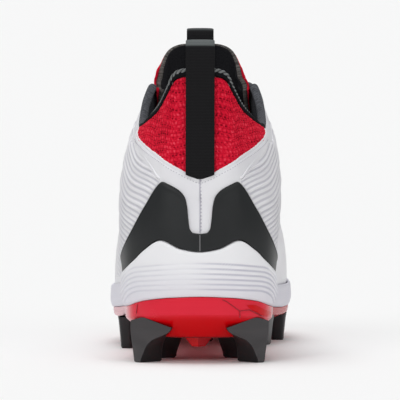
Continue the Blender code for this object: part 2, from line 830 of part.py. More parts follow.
def build_piping():
    """A raised line on each side, from the counter's apex up towards the collar."""
    places = [row.place for row in PIPING_LINE]

    def low(around):
        height = smooth_table(PIPING_LINE, "height", side_place(around)) * COLLAR_HEIGHT
        return up_at_height(around, height - PIPING_WIDE / 2)

    def high(around):
        height = smooth_table(PIPING_LINE, "height", side_place(around)) * COLLAR_HEIGHT
        return up_at_height(around, height + PIPING_WIDE / 2)

    patch("piping_inner", places, low, high, WHITE_SKIN, inside=SKIN_ROOM, rows=1)
    patch("piping_outer", [-place for place in places], low, high, WHITE_SKIN, inside=SKIN_ROOM, rows=1)


def eyelet_places():
    """Places of the eyelets on one side, evenly apart along the throat, front first."""
    low, high = EYELET_TOP, EYELET_FRONT
    fine = [low + (high - low) * k / FINE for k in range(FINE + 1)]
    run = [0.0]
    for one, two in zip(fine, fine[1:]):
        run.append(run[-1] + (brim_point(two) - brim_point(one)).length)
    places = []
    for k in range(EYELETS):
        target = run[-1] * (EYELETS - 1 - k) / (EYELETS - 1)
        places.append(min(zip(run, fine), key=lambda pair: abs(pair[0] - target))[1])
    return places


def build_eyestay():
    """The overlay round the throat, with its punched eyelets."""
    columns = [2.0 * k / AROUND for k in range(EYESTAY_END, AROUND - EYESTAY_END + 1)]
    made = patch("eyestay", columns, lambda a: EYESTAY_LOW, lambda a: EYESTAY_HIGH, WHITE_SKIN,
                 inside=SKIN_ROOM, rows=2)
    form = Form()
    corners = 6
    for place in eyelet_places():
        for around in (place, 2.0 - place):
            middle = wall_point(around, EYELET_UP)
            out = wall_normal(around, EYELET_UP)
            side = out.orthogonal().normalized()
            other = out.cross(side)
            rings = []
            for lift in (-UPPER_WALL / 2, 4 * SKIN):
                ring = []
                for c in range(corners):
                    angle = 2 * math.pi * c / corners
                    spoke = side * math.cos(angle) + other * math.sin(angle)
                    ring.append(middle + out * lift + spoke * EYELET_BORE / 2)
                rings.append(form.row(ring))
            form.strip(*rings)
            form.fill(rings[0])
            form.fill(rings[1])
    cutter = form.object("eyelet_punch", DARK_LINING)
    cutter.hide_render = True
    cutter.display_type = "WIRE"
    cut = made.modifiers.new("eyelets", "BOOLEAN")
    cut.operation = "DIFFERENCE"
    cut.solver = "EXACT"
    cut.object = cutter


def lace_strand(start, end):
    """A lace's middle line from eyelet to eyelet over the tongue, as points with the way that its face looks."""
    lift = 4.5 * CLEAR + SKIN + LACE_THICK / 2
    line = []
    for place, up in ((start, EYELET_UP), (start, BINDING_LOW), (end, BINDING_LOW), (end, EYELET_UP)):
        line.append((skin_point(place, up, lift), wall_normal(place, up)))
    first, last = line[1], line[2]
    gap = (last[0] - first[0]).length
    middle = []
    for share in (0.33, 0.67):
        point = first[0].lerp(last[0], share)
        point.z += TONGUE_CROWN * gap * 4 * share * (1 - share)
        middle.append((point, first[1].lerp(last[1], share)))
    return line[:2] + middle + line[2:]


def flat_strap(line, wide, thick, name):
    """A flat lace along a line of points, each with the way that its face looks."""
    form = Form()
    rows = []
    path = [point for point, _ in line]
    for k, (point, up) in enumerate(line):
        run = (path[min(k + 1, len(path) - 1)] - path[max(k - 1, 0)]).normalized()
        side = run.cross(up).normalized()
        face = side.cross(run).normalized()
        half = side * wide / 2
        rise = face * thick / 2
        rows.append(form.row([point - half - rise, point + half - rise, point + half + rise, point - half + rise]))
    for one, two in zip(rows, rows[1:]):
        form.strip(one, two)
    form.fill(rows[0])
    form.fill(rows[-1])
    return form.object(name, WHITE_LACE)


def build_laces():
    """The crossed laces, joined where they meet, with their ends in the top eyelets."""
    places = eyelet_places()
    runs = [(places[0], 2.0 - places[0])]
    for one, two in zip(places, places[1:]):
        runs.append((one, 2.0 - two))
        runs.append((2.0 - one, two))
    straps = []
    for k, (start, end) in enumerate(runs):
        straps.append(flat_strap(lace_strand(start, end), LACE_WIDE, LACE_THICK, "laces" if k == 0 else f"lace_{k}"))
    whole = straps[0]
    for strap in straps[1:]:
        strap.hide_render = True
        strap.display_type = "WIRE"
        join = whole.modifiers.new(strap.name, "BOOLEAN")
        join.operation = "UNION"
        join.solver = "EXACT"
        join.object = strap


def build_tongue_loop():
    """The webbing loop on the tongue's top."""
    outer = [row[TONGUE_MIDDLE] for row in tongue_grid(0.0)[-4:]]
    inner = [row[TONGUE_MIDDLE] for row in tongue_grid(TONGUE_THICK)[-4:]]
    room = Vector((0.0, 2 * CLEAR + WEBBING_THICK / 2, 0.0))
    front = [point + room for point in outer]
    back = [point - room for point in inner[::-1]]
    path = loop_over(front, back, TONGUE_TOP + TONGUE_LOOP_RISE - WEBBING_THICK / 2, steps=6)
    ribbon("tongue_pull_loop", path, TONGUE_WEBBING_WIDE, WEBBING_THICK, BLACK_WEBBING, centre=TONGUE_SHIFT)


def superellipse(count, long, wide, power=3.0):
    """Points round a rounded rectangle."""
    points = []
    for k in range(count):
        angle = 2 * math.pi * (k + 0.5) / count
        c, s = math.cos(angle), math.sin(angle)
        size = (abs(c) ** power + abs(s) ** power) ** (-1.0 / power)
        points.append(Vector((long / 2 * c * size, wide / 2 * s * size)))
    return points


def stud_ring(stud, growth):
    """One row of a stud: a turned rounded rectangle whose inner side leans towards the shoe's middle."""
    place = Vector((stud.x * BALL_WIDTH, stud.y * LENGTH))
    turn = math.radians(stud.turn)
    size = growth.size + (stud.flare - 1.0) * growth.flare
    wide = stud.wide * STUD_WIDE
    lean = stud.lean * STUD_LEAN * growth.lean
    ring = []
    for corner in superellipse(STUD_CORNERS, stud.long * STUD_LONG * size, wide * size):
        x = corner.x * math.cos(turn) - corner.y * math.sin(turn)
        y = corner.x * math.sin(turn) + corner.y * math.cos(turn)
        inner = min(max(0.5 + math.copysign(x / wide, x * lean), 0.0), 1.0)
        height = stud_foot(stud) + growth.share * (stud_top(stud) - stud_foot(stud))
        back = abs(stud.lean) * STUD_LEAN_BACK * growth.lean * inner
        ring.append(Vector((place.x + x + lean * inner, place.y + y - back, height)))
    return ring


def build_studs():
    """The studs, cut off at the plate's underside."""
    cutter = plate_form(CLEAR, tray=False).object("plate_room", RED_PLATE)
    cutter.hide_render = True
    cutter.display_type = "WIRE"
    for stud in STUDS:
        form = Form()
        rows = [form.row(stud_ring(stud, growth)) for growth in (WING_GROWTH if stud.lean else STUD_GROWTH)]
        for one, two in zip(rows, rows[1:]):
            form.strip(one, two)
        form.fill(rows[0])
        form.fill(rows[-1])
        made = form.object(stud.name, RED_NUB if stud.name == "heel_nub" else DARK_STUD)
        cut = made.modifiers.new("cut", "BOOLEAN")
        cut.operation = "DIFFERENCE"
        cut.solver = "EXACT"
        cut.object = cutter


def belly_height(along):
    """The height of the plate's belly at a distance from the heel."""
    share = min(max(along / LENGTH, 0.0), 1.0)
    near = min(places_around(), key=lambda a: abs(outline(a).y - share * LENGTH) if a <= 1.0 else 9.0)
    return level(near, "belly")


def stud_top(stud):
    """How high a stud's body reaches before the plate cuts it."""
    return belly_height(stud.y * LENGTH) + stud.root * PLATE_HEIGHT


def stud_foot(stud):
    """The stud's lowest height: the floor, or above it where the toe springs up."""
    return max(stud.foot * STUD_HEIGHT, belly_height(stud.y * LENGTH) - 1.1 * STUD_HEIGHT)


def tongue_grid(sink):
    """Rows of points on the tongue, from its front end under the vamp up to its free top, sunk by a depth."""
    lift = -(UPPER_WALL + 3 * CLEAR) - sink
    grid = []
    for station in TONGUE_STATIONS:
        place = 2.0 * station / AROUND
        left = [skin_point(2.0 - place, up, lift) for up in TONGUE_FLANK]
        right = [skin_point(place, up, lift) for up in TONGUE_FLANK[::-1]]
        start, end = left[-1], right[0]
        crown = TONGUE_CROWN * (end - start).length
        across = []
        for k in range(1, TONGUE_MIDDLE):
            share = k / TONGUE_MIDDLE
            point = start.lerp(end, share)
            point.z += crown * 4 * share * (1 - share)
            across.append(point)
        grid.append(left + across + right)
    tuck = lift - (BINDING_WIDE - UPPER_WALL) / 2 - 3 * CLEAR
    shoulder = [skin_point(2.0 - place, SHOULDER_UP, tuck) for place in SHOULDER]
    shoulder += [point + Vector(SHOULDER_STEP) for point in grid[-1][3:-3]]
    shoulder += [skin_point(place, SHOULDER_UP, tuck) for place in SHOULDER[::-1]]
    crest = []
    for j in range(len(shoulder)):
        share = 2 * j / (len(shoulder) - 1) - 1
        row = abs(share)
        x = TONGUE_SHIFT + math.copysign(smooth_table(CREST, "half", row) * BALL_WIDTH - sink * row, share)
        y = smooth_table(CREST, "along", row) * LENGTH - sink * (1 - 0.6 * row)
        crest.append(Vector((x, y, smooth_table(CREST, "height", row) * TONGUE_TOP)))
    for k in range(TONGUE_FREE_ROWS + 1):
        grid.append([low.lerp(high, k / TONGUE_FREE_ROWS) for low, high in zip(shoulder, crest)])
    return grid


def build_tongue():
    """The tongue: it lies under both sides of the throat and its top stands free."""
    form = Form()
    outer, inner = [[form.row(row) for row in tongue_grid(sink)] for sink in (0.0, TONGUE_THICK)]
    for grid in (outer, inner):
        for one, two in zip(grid, grid[1:]):
            form.strip(one, two, closed=False)
    form.strip(outer[-1], inner[-1], closed=False)
    for end in (0, -1):
        form.strip([row[end] for row in outer], [row[end] for row in inner], closed=False)
    form.object("tongue", RED_KNIT)


def centre_objects():
    """Moves the shoe so that its box is centred over the origin and stands on the floor."""
    shown = [thing for thing in bpy.data.objects if thing.type == "MESH" and not thing.hide_render]
    bpy.context.view_layer.update()
    corners = [thing.matrix_world @ Vector(corner) for thing in shown for corner in thing.bound_box]
    middle = [(min(c[k] for c in corners) + max(c[k] for c in corners)) / 2 for k in range(2)]
    low = min(c.z for c in corners)
    for thing in bpy.data.objects:
        thing.location -= Vector((middle[0], middle[1], low))


def main():
    """Builds the shoe."""
    clear_scene()
    build_plate()
    build_midsole()
    build_insole()
    build_upper()
    build_counter()
    build_cuff()
    build_binding()
    build_heel_loop()
    build_piping()
    build_eyestay()
    build_tongue()
    build_tongue_loop()
    build_laces()
    build_studs()
    centre_objects()


main()
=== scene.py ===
"""Dresses a left american football cleat with its knit, skin, foam, plate and webbing.

Every piece is cut from one function of the shoe: a place round it (0 at the back of the heel, 1 at the
toe along the inner side, 2 back at the heel along the outer side) and a place up its wall (-1 at the
footbed, 0 at the midsole's lip, 1 at the edge of collar and throat). Lengths are in metres.
"""

import logging
import math
from dataclasses import dataclass, field
from enum import Enum
from typing import Callable, NamedTuple, Sequence

import bmesh
import bpy
import numpy as np
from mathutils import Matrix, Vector


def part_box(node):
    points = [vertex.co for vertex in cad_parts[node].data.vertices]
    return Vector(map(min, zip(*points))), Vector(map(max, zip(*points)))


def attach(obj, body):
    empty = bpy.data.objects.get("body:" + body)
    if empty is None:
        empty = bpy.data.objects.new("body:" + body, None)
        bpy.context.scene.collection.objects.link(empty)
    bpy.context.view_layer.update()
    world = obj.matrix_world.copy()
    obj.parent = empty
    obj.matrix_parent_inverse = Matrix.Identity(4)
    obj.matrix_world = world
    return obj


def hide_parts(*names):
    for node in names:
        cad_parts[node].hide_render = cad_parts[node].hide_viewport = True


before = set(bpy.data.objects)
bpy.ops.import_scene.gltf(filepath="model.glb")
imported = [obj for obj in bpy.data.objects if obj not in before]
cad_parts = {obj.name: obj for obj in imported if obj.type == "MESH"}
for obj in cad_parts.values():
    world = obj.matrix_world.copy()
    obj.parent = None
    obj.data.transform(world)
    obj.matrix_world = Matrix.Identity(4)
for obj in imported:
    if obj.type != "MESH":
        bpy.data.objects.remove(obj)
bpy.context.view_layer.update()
LOG = logging.getLogger("cleat")
MM = 0.001
FINE = 2001
Array = np.ndarray

LENGTH = 0.2930
BALL_WIDTH = 0.1025
COLLAR_HEIGHT = 0.1570
STUD_HEIGHT = 0.0134
TOE_SPRING = 0.0100
PLATE_HEIGHT = 0.0216
BED_HEIGHT = 0.0241
TONGUE_TOP = 0.1695
HEEL_LOOP_TOP = 0.1740
TONGUE_LOOP_TOP = 0.1792
CLEAR = 0.0003
UPPER_WALL = 0.0022
CUP_WALL = 0.0055
LIP_WALL = 0.0016
LIP_SETBACK = 0.0009
LIP_ROLL = 0.0022
RIB_FOOT = 0.0012
MIDSOLE_OVERHANG = 0.0010
MIDSOLE_SWELL = 0.55
RIM_INSET = 0.0020
RIM_INSET_HEEL = 0.0042
CREASE_DEPTH = 0.0020
CREASE_BAND = 0.0012
BOWL_SHARE = 0.42
BELLY_INSET_HEEL = 0.0160
BELLY_INSET_TOE = 0.0105
SKIN = 0.0009
TONGUE_THICK = 0.0045
TONGUE_SHIFT = -0.0018
BINDING_WIDE = 0.0048
BINDING_TALL = 0.0036
WEBBING_THICK = 0.0015
HALF_ROUND = 0.3445
HEEL_WEBBING_WIDE = 0.0155
TONGUE_WEBBING_WIDE = 0.0148
HEEL_LOOP_HALF = 0.032
LOOP_FULLNESS = 0.8
PIPING_WIDE = 0.0016
EYESTAY_LOW = 0.82
EYELET_UP = 0.91
EYELET_BORE = 0.0042
LACE_WIDE = 0.0062
LACE_THICK = 0.0014
TONGUE_CROWN = 0.16
PLATE_RIM = 0.0050
INSOLE_THICK = 0.0038
STUD_LONG = 0.0130
STUD_WIDE = 0.0070
STUD_LEAN = 0.0060
STUD_LEAN_BACK = 0.0040


def smooth_curve(places: Sequence[float], values: Sequence[float], fine: Array) -> Array:
    """Reads a smooth curve that passes through every value and never overshoots one.

    Args:
        places: Where the values stand, rising.
        values: The values.
        fine: Where the curve is read.

    Returns:
        The curve's values.
    """
    x, y = np.array(places, float), np.array(values, float)
    step = np.diff(x)
    rate = np.diff(y) / step
    slope = np.zeros(len(x))
    same = rate[:-1] * rate[1:] > 0
    total = np.where(same, rate[:-1] + rate[1:], 1.0)
    slope[1:-1] = np.where(same, 2 * rate[:-1] * rate[1:] / total, 0.0)
    k = np.clip(np.searchsorted(x, fine, side="right") - 1, 0, len(step) - 1)
    t = np.clip((fine - x[k]) / step[k], 0.0, 1.0)
    low = (1 + 2 * t) * (1 - t) ** 2 * y[k] + t * (1 - t) ** 2 * step[k] * slope[k]
    return low + t * t * (3 - 2 * t) * y[k + 1] - t * t * (1 - t) * step[k] * slope[k + 1]


class Table:
    """Columns of values over a place from 0 to 1, read along smooth curves."""

    def __init__(self, columns: str, *rows: tuple[float, ...]) -> None:
        """Keeps the rows, each of which starts with its place."""
        self.names = columns.split()
        self.rows = rows
        self.places = [row[0] for row in rows]
        self._fine = np.linspace(0.0, 1.0, FINE)
        self._curves = {
            name: smooth_curve(self.places, [row[k + 1] for row in rows], self._fine)
            for k, name in enumerate(self.names)
        }

    def at(self, name: str, place: Array) -> Array:
        """Reads a column at places."""
        return np.interp(place, self._fine, self._curves[name])


def through_points(points: Array, count: int) -> Array:
    """A smooth chain through points. The first and last points only guide its ends.

    Args:
        points: The points.
        count: How many steps lead from one point to the next.

    Returns:
        The chain.
    """
    chain = []
    t = np.linspace(0.0, 1.0, count, endpoint=False).reshape((-1,) + (1,) * (points.ndim - 1))
    for before, start, end, after in zip(points, points[1:], points[2:], points[3:]):
        chain.append(
            0.5 * (2 * start + (end - before) * t + (2 * before - 5 * start + 4 * end - after) * t**2
                   + (3 * start - before - 3 * end + after) * t**3)
        )
    chain.append(points[-2][None])
    return np.concatenate(chain)


def lengths(path: Array) -> Array:
    """How far along a chain each of its points lies."""
    return np.concatenate([[0.0], np.cumsum(np.linalg.norm(np.diff(path, axis=0), axis=1))])


def read_chain(at: Array, run: Array, points: Array) -> Array:
    """Points read between the points of a chain, whose places are given by run."""
    return np.stack([np.interp(at, run, column) for column in points.T], axis=-1)


def turns(count: int) -> Array:
    """Angles evenly round a circle."""
    return np.linspace(0.0, 2 * math.pi, count, endpoint=False)


def spokes(one: Array, two: Array, angle: Array) -> Array:
    """Directions all round a line, from two directions across it at each of its points."""
    return one[:, None] * np.cos(angle)[None, :, None] + two[:, None] * np.sin(angle)[None, :, None]


def stacked(*values: Array | float) -> Array:
    """Values of any shapes, side by side along a last axis."""
    return np.stack(np.broadcast_arrays(*values), axis=-1)


INNER_EDGE = np.array([
    (0.0000, 0.000), (0.0160, 0.210), (0.0650, 0.357), (0.1310, 0.405), (0.2120, 0.400),
    (0.3060, 0.364), (0.4010, 0.343), (0.4930, 0.360), (0.5950, 0.425), (0.6900, 0.472),
    (0.7760, 0.468), (0.8570, 0.430), (0.9260, 0.368), (0.9790, 0.262), (1.0000, 0.040),
])
OUTER_EDGE = np.array([
    (0.0000, 0.000), (0.0160, -0.215), (0.0650, -0.368), (0.1310, -0.427), (0.2120, -0.433),
    (0.3060, -0.416), (0.4010, -0.426), (0.4930, -0.478), (0.5850, -0.525), (0.6800, -0.523),
    (0.7650, -0.486), (0.8470, -0.412), (0.9150, -0.328), (0.9740, -0.190), (1.0000, 0.040),
])
LEVELS = Table(
    "spring crease rim bed",
    (0.00, 0.000, 0.550, 1.040, 1.001), (0.05, 0.000, 0.540, 1.010, 0.995),
    (0.10, 0.000, 0.490, 0.930, 0.979), (0.16, 0.010, 0.410, 0.760, 0.950),
    (0.25, 0.027, 0.360, 0.640, 0.901), (0.40, 0.134, 0.248, 0.490, 0.734),
    (0.52, 0.000, 0.174, 0.390, 0.623), (0.62, -0.134, 0.174, 0.365, 0.606),
    (0.72, -0.134, 0.186, 0.380, 0.628), (0.82, 0.067, 0.217, 0.440, 0.678),
    (0.92, 0.563, 0.248, 0.484, 0.706), (1.00, 1.005, 0.254, 0.496, 0.723),
)
LIP = Table(
    "height",
    (0.000, 0.382), (0.030, 0.391), (0.066, 0.420), (0.098, 0.387), (0.124, 0.350), (0.155, 0.322),
    (0.220, 0.292), (0.310, 0.266), (0.420, 0.243), (0.520, 0.222), (0.620, 0.210), (0.720, 0.212),
    (0.820, 0.232), (0.920, 0.272), (1.000, 0.315),
)
BRIM = np.array([
    (0.000, 0.000, 0.0380, 0.982), (0.040, 0.094, 0.0430, 0.978), (0.060, 0.138, 0.0505, 0.961),
    (0.080, 0.167, 0.0600, 0.919), (0.120, 0.216, 0.0940, 0.860), (0.170, 0.286, 0.1450, 0.816),
    (0.240, 0.328, 0.2120, 0.794),
    (0.310, 0.338, 0.2780, 0.806), (0.370, 0.318, 0.3260, 0.880), (0.420, 0.270, 0.3600, 0.943),
    (0.460, 0.209, 0.3880, 0.943), (0.510, 0.170, 0.4280, 0.876), (0.600, 0.152, 0.5000, 0.750),
    (0.700, 0.142, 0.5700, 0.640), (0.800, 0.130, 0.6280, 0.556), (0.900, 0.108, 0.6760, 0.500),
    (0.960, 0.066, 0.6960, 0.480), (1.000, 0.000, 0.7020, 0.474),
])
SWELL = Table(
    "rise bulge reach drop",
    (0.00, 0.190, 0.020, -0.045, 0.200), (0.08, 0.180, 0.030, -0.012, 0.190),
    (0.15, 0.205, 0.038, 0.062, 0.140), (0.24, 0.225, 0.046, 0.118, 0.092),
    (0.33, 0.225, 0.040, 0.125, 0.130), (0.42, 0.250, 0.024, 0.140, 0.210),
    (0.50, 0.250, 0.010, 0.190, 0.160), (0.60, 0.215, 0.008, 0.235, 0.105),
    (0.70, 0.175, 0.008, 0.245, 0.066), (0.80, 0.150, 0.002, 0.262, 0.046),
    (0.90, 0.132, -0.004, 0.340, 0.036), (1.00, 0.128, -0.016, 0.480, 0.040),
)
COUNTER_LINE = Table(
    "height",
    (0.000, 0.446), (0.011, 0.449), (0.0165, 0.462), (0.0195, 0.500), (0.0215, 0.538), (0.026, 0.570),
    (0.037, 0.594), (0.055, 0.613), (0.070, 0.622), (0.080, 0.606), (0.107, 0.525), (0.136, 0.444),
    (0.165, 0.398), (0.220, 0.350), (0.300, 0.306), (0.400, 0.262),
)
CUFF_LINE = Table(
    "height",
    (0.000, 0.632), (0.022, 0.647), (0.048, 0.672), (0.080, 0.700), (0.100, 0.712), (0.120, 0.723),
    (0.140, 0.737), (0.160, 0.751), (0.180, 0.763), (0.200, 0.774), (0.225, 0.790),
)
PIPING_LINE = Table(
    "height",
    (0.076, 0.634), (0.100, 0.660), (0.125, 0.690), (0.150, 0.719), (0.175, 0.741), (0.200, 0.753),
)
CUFF_FRONT = 0.225
CREST = Table(
    "half along height",
    (0.0, 0.000, 0.3920, 1.000), (0.2, 0.066, 0.3915, 1.000), (0.4, 0.134, 0.3890, 0.997),
    (0.6, 0.186, 0.3840, 0.974), (0.8, 0.217, 0.3770, 0.936), (1.0, 0.234, 0.3680, 0.895),
)


class Last:
    """The shoe's one form, from which every piece is cut."""

    def __init__(self) -> None:
        """Lays out the outline and the brim, and finds where the solids' frame has the heel."""
        inner = self._side(INNER_EDGE, OUTER_EDGE)
        outer = self._side(OUTER_EDGE, INNER_EDGE)
        loop = np.concatenate([inner, outer[-2::-1]])
        self._round = np.linspace(0.0, 2.0, len(loop))
        self._outline = loop
        mirror = np.array([1.0, -1.0, 1.0, 1.0])
        rows = np.concatenate([BRIM[1:2] * mirror, BRIM, BRIM[-2:-1] * mirror])
        scale = np.array([BALL_WIDTH, LENGTH, COLLAR_HEIGHT])
        count = 60
        self._brim = through_points(rows[:, 1:] * scale, count)
        share = np.arange(len(self._brim)) / count
        self._brim_place = np.interp(share, np.arange(len(BRIM)), BRIM[:, 0])
        loop_low, loop_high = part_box("heel_pull_loop")
        plate_low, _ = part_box("outsole_plate")
        rim_back = float(self.rim_inset(np.array(0.0)))
        self.shift = np.array([(loop_low[0] + loop_high[0]) / 2, plate_low[1] - rim_back, 0.0])

    @staticmethod
    def _side(edge: Array, other: Array) -> Array:
        """One side of the outline, evenly spaced from heel to toe.

        Args:
            edge: This side's rows.
            other: The other side's, which guide its ends.

        Returns:
            Points in plan.
        """
        rows = np.concatenate([other[1:2], edge, other[-2:-1]])
        chain = through_points(rows[:, ::-1] * np.array([BALL_WIDTH, LENGTH]), 60)
        run = lengths(chain)
        return read_chain(np.linspace(0.0, run[-1], FINE), run, chain)

    @staticmethod
    def side(around: Array) -> Array:
        """The share of the way from heel to toe."""
        around = np.mod(around, 2.0)
        return np.where(around <= 1.0, around, 2.0 - around)

    def outline(self, around: Array) -> Array:
        """The sole's edge in plan."""
        return read_chain(np.mod(around, 2.0), self._round, self._outline)

    def outward(self, around: Array) -> Array:
        """The plan direction straight out of the edge."""
        reach = 0.006
        run = self.outline(around + reach) - self.outline(around - reach)
        out = np.stack([run[..., 1], -run[..., 0]], axis=-1)
        return out / np.linalg.norm(out, axis=-1, keepdims=True)

    def level(self, around: Array, name: str) -> Array:
        """The height of a layer of the sole."""
        place = self.side(around)
        belly = STUD_HEIGHT + LEVELS.at("spring", place) * TOE_SPRING
        if name == "belly":
            return belly
        size = BED_HEIGHT if name == "bed" else PLATE_HEIGHT
        return belly + LEVELS.at(name, place) * size

    def lip(self, around: Array) -> Array:
        """The height of the midsole's lip."""
        return LIP.at("height", self.side(around)) * COLLAR_HEIGHT

    def rim_inset(self, around: Array) -> Array:
        """How far the plate's rim lies inside the edge."""
        return RIM_INSET + (RIM_INSET_HEEL - RIM_INSET) * np.maximum(0.0, 1.0 - self.side(around) / 0.4)

    def belly_inset(self, around: Array) -> Array:
        """How far the plate's belly lies inside the edge."""
        return BELLY_INSET_HEEL + (BELLY_INSET_TOE - BELLY_INSET_HEEL) * self.side(around)

    def edge(self, around: Array, inset: Array | float, height: Array | float) -> Array:
        """Points that lie inside the edge, at a height.

        Args:
            around: Places round the shoe.
            inset: How far inside.
            height: How high.

        Returns:
            The points.
        """
        deep = np.expand_dims(np.asarray(inset) + 0.0 * around, -1)
        flat = self.outline(around) - self.outward(around) * deep
        return np.concatenate([flat, np.expand_dims(np.asarray(height) + 0.0 * around, -1)], axis=-1)

    def brim(self, around: Array) -> Array:
        """The edge of collar and throat.

        Args:
            around: Places round the shoe.

        Returns:
            The points.
        """
        spot = read_chain(self.side(around), self._brim_place, self._brim)
        spot[..., 0] *= np.where(np.mod(around, 2.0) > 1.0, -1.0, 1.0)
        return spot

    def wall(self, around: Array, up: Array) -> Array:
        """The upper's outside.

        Args:
            around: Places round the shoe.
            up: How far up the wall.

        Returns:
            The points.
        """
        around, up = np.broadcast_arrays(np.asarray(around, float), np.asarray(up, float))
        lip = self.lip(around)
        bed = self.level(around, "bed") + CLEAR
        low, high = CUP_WALL + 1.5 * CLEAR, LIP_WALL + LIP_SETBACK + 1.2 * CLEAR
        share = np.clip(up + 1.0, 0.0, 1.0)
        cup = self.edge(around, low + (high - low) * share, bed + (lip - bed) * share)
        place = self.side(around)
        out = np.concatenate([self.outward(around), np.zeros(around.shape + (1,))], axis=-1)
        rise = np.array([0.0, 0.0, 1.0])
        sizes = {name: np.expand_dims(SWELL.at(name, place), -1) for name in SWELL.names}
        start = self.edge(around, high, lip)
        end = self.brim(around)
        first = start + out * sizes["bulge"] * BALL_WIDTH + rise * sizes["rise"] * COLLAR_HEIGHT
        second = end + out * sizes["reach"] * BALL_WIDTH - rise * sizes["drop"] * COLLAR_HEIGHT
        t = np.expand_dims(np.clip(up, 0.0, 1.0), -1)
        s = 1.0 - t
        body = s**3 * start + 3 * s * s * t * first + 3 * s * t * t * second + t**3 * end
        return np.where(np.expand_dims(up, -1) <= 0.0, cup, body)

    def normal(self, around: Array, up: Array) -> Array:
        """The direction straight out of the upper.

        Args:
            around: Places round the shoe.
            up: How far up the wall.

        Returns:
            The directions.
        """
        around, up = np.broadcast_arrays(np.asarray(around, float), np.asarray(up, float))
        low = np.where(up < 0.0, np.maximum(up - 0.015, -1.0), np.maximum(up - 0.015, 0.0))
        high = np.where(up < 0.0, np.minimum(up + 0.015, 0.0), np.minimum(up + 0.015, 1.0))
        along = self.wall(around + 0.004, up) - self.wall(around - 0.004, up)
        rising = self.wall(around, high) - self.wall(around, low)
        out = np.cross(along, rising)
        return out / np.linalg.norm(out, axis=-1, keepdims=True)

    def skin(self, around: Array, up: Array, lift: Array | float) -> Array:
        """Points lifted off the upper's outside."""
        lift = np.expand_dims(np.asarray(lift, float), -1)
        return self.wall(around, up) + self.normal(around, up) * lift

    def up_at(self, around: Array, height: Array) -> Array:
        """How far up the wall a height is reached.

        Args:
            around: Places round the shoe.
            height: The heights.

        Returns:
            Places up the wall.
        """
        low, high = np.zeros(np.shape(around)), np.ones(np.shape(around))
        for _ in range(26):
            middle = (low + high) / 2
            below = self.wall(around, middle)[..., 2] < height
            low, high = np.where(below, middle, low), np.where(below, high, middle)
        return (low + high) / 2

    def up_on(self, line: Table, around: Array, more: float = 0.0) -> Array:
        """How far up the wall a drawn line runs."""
        return self.up_at(around, line.at("height", self.side(around)) * COLLAR_HEIGHT + more)

    def measure(self, around: Array, points: Array, mark: float = 0.0) -> Array:
        """Millimetres round the shoe and up it, with a mark: what the finishes read.

        Args:
            around: Places round the shoe.
            points: The points.
            mark: The mark.

        Returns:
            Three values for each point.
        """
        turned = np.where(np.mod(around, 2.0) > 1.0, np.mod(around, 2.0) - 2.0, np.mod(around, 2.0))
        along = np.broadcast_to(turned, points.shape[:-1]) * HALF_ROUND / MM
        return np.stack([along, points[..., 2] / MM, np.full(points.shape[:-1], mark)], axis=-1)


def unit(vectors: Array) -> Array:
    """Directions of length one."""
    return vectors / np.maximum(np.linalg.norm(vectors, axis=-1, keepdims=True), 1e-12)


def between(grid: Array, count: int) -> Array:
    """A finer smooth chain through every row of a grid, its end rows included."""
    before, after = 2 * grid[:1] - grid[1:2], 2 * grid[-1:] - grid[-2:-1]
    return through_points(np.concatenate([before, grid, after]), count)


def bell(value: Array, middle: float, wide: float) -> Array:
    """A soft hump of height 1."""
    return np.exp(-(((value - middle) / wide) ** 2))


def soft_step(low: float, high: float, value: Array) -> Array:
    """Rises smoothly from 0 at low to 1 at high."""
    t = np.clip((value - low) / (high - low), 0.0, 1.0)
    return t * t * (3 - 2 * t)


def rounded(count: int, edge: float = 0.06, corners: int = 4) -> tuple[Array, Array]:
    """Places from 0 to 1, close together at both ends, and how high a rounded edge has risen at each.

    Args:
        count: How many steps lie between the edges.
        edge: The share that each edge takes.
        corners: How many steps round an edge.

    Returns:
        The places and the heights.
    """
    angle = np.linspace(0.0, math.pi / 2, corners + 1)
    turn = edge * (1 - np.cos(angle))
    height = np.sin(angle)
    inside = np.linspace(edge, 1.0 - edge, count + 1)[1:-1]
    places = np.concatenate([turn, inside, 1.0 - turn[::-1]])
    return places, np.concatenate([height, np.ones(len(inside)), height[::-1]])


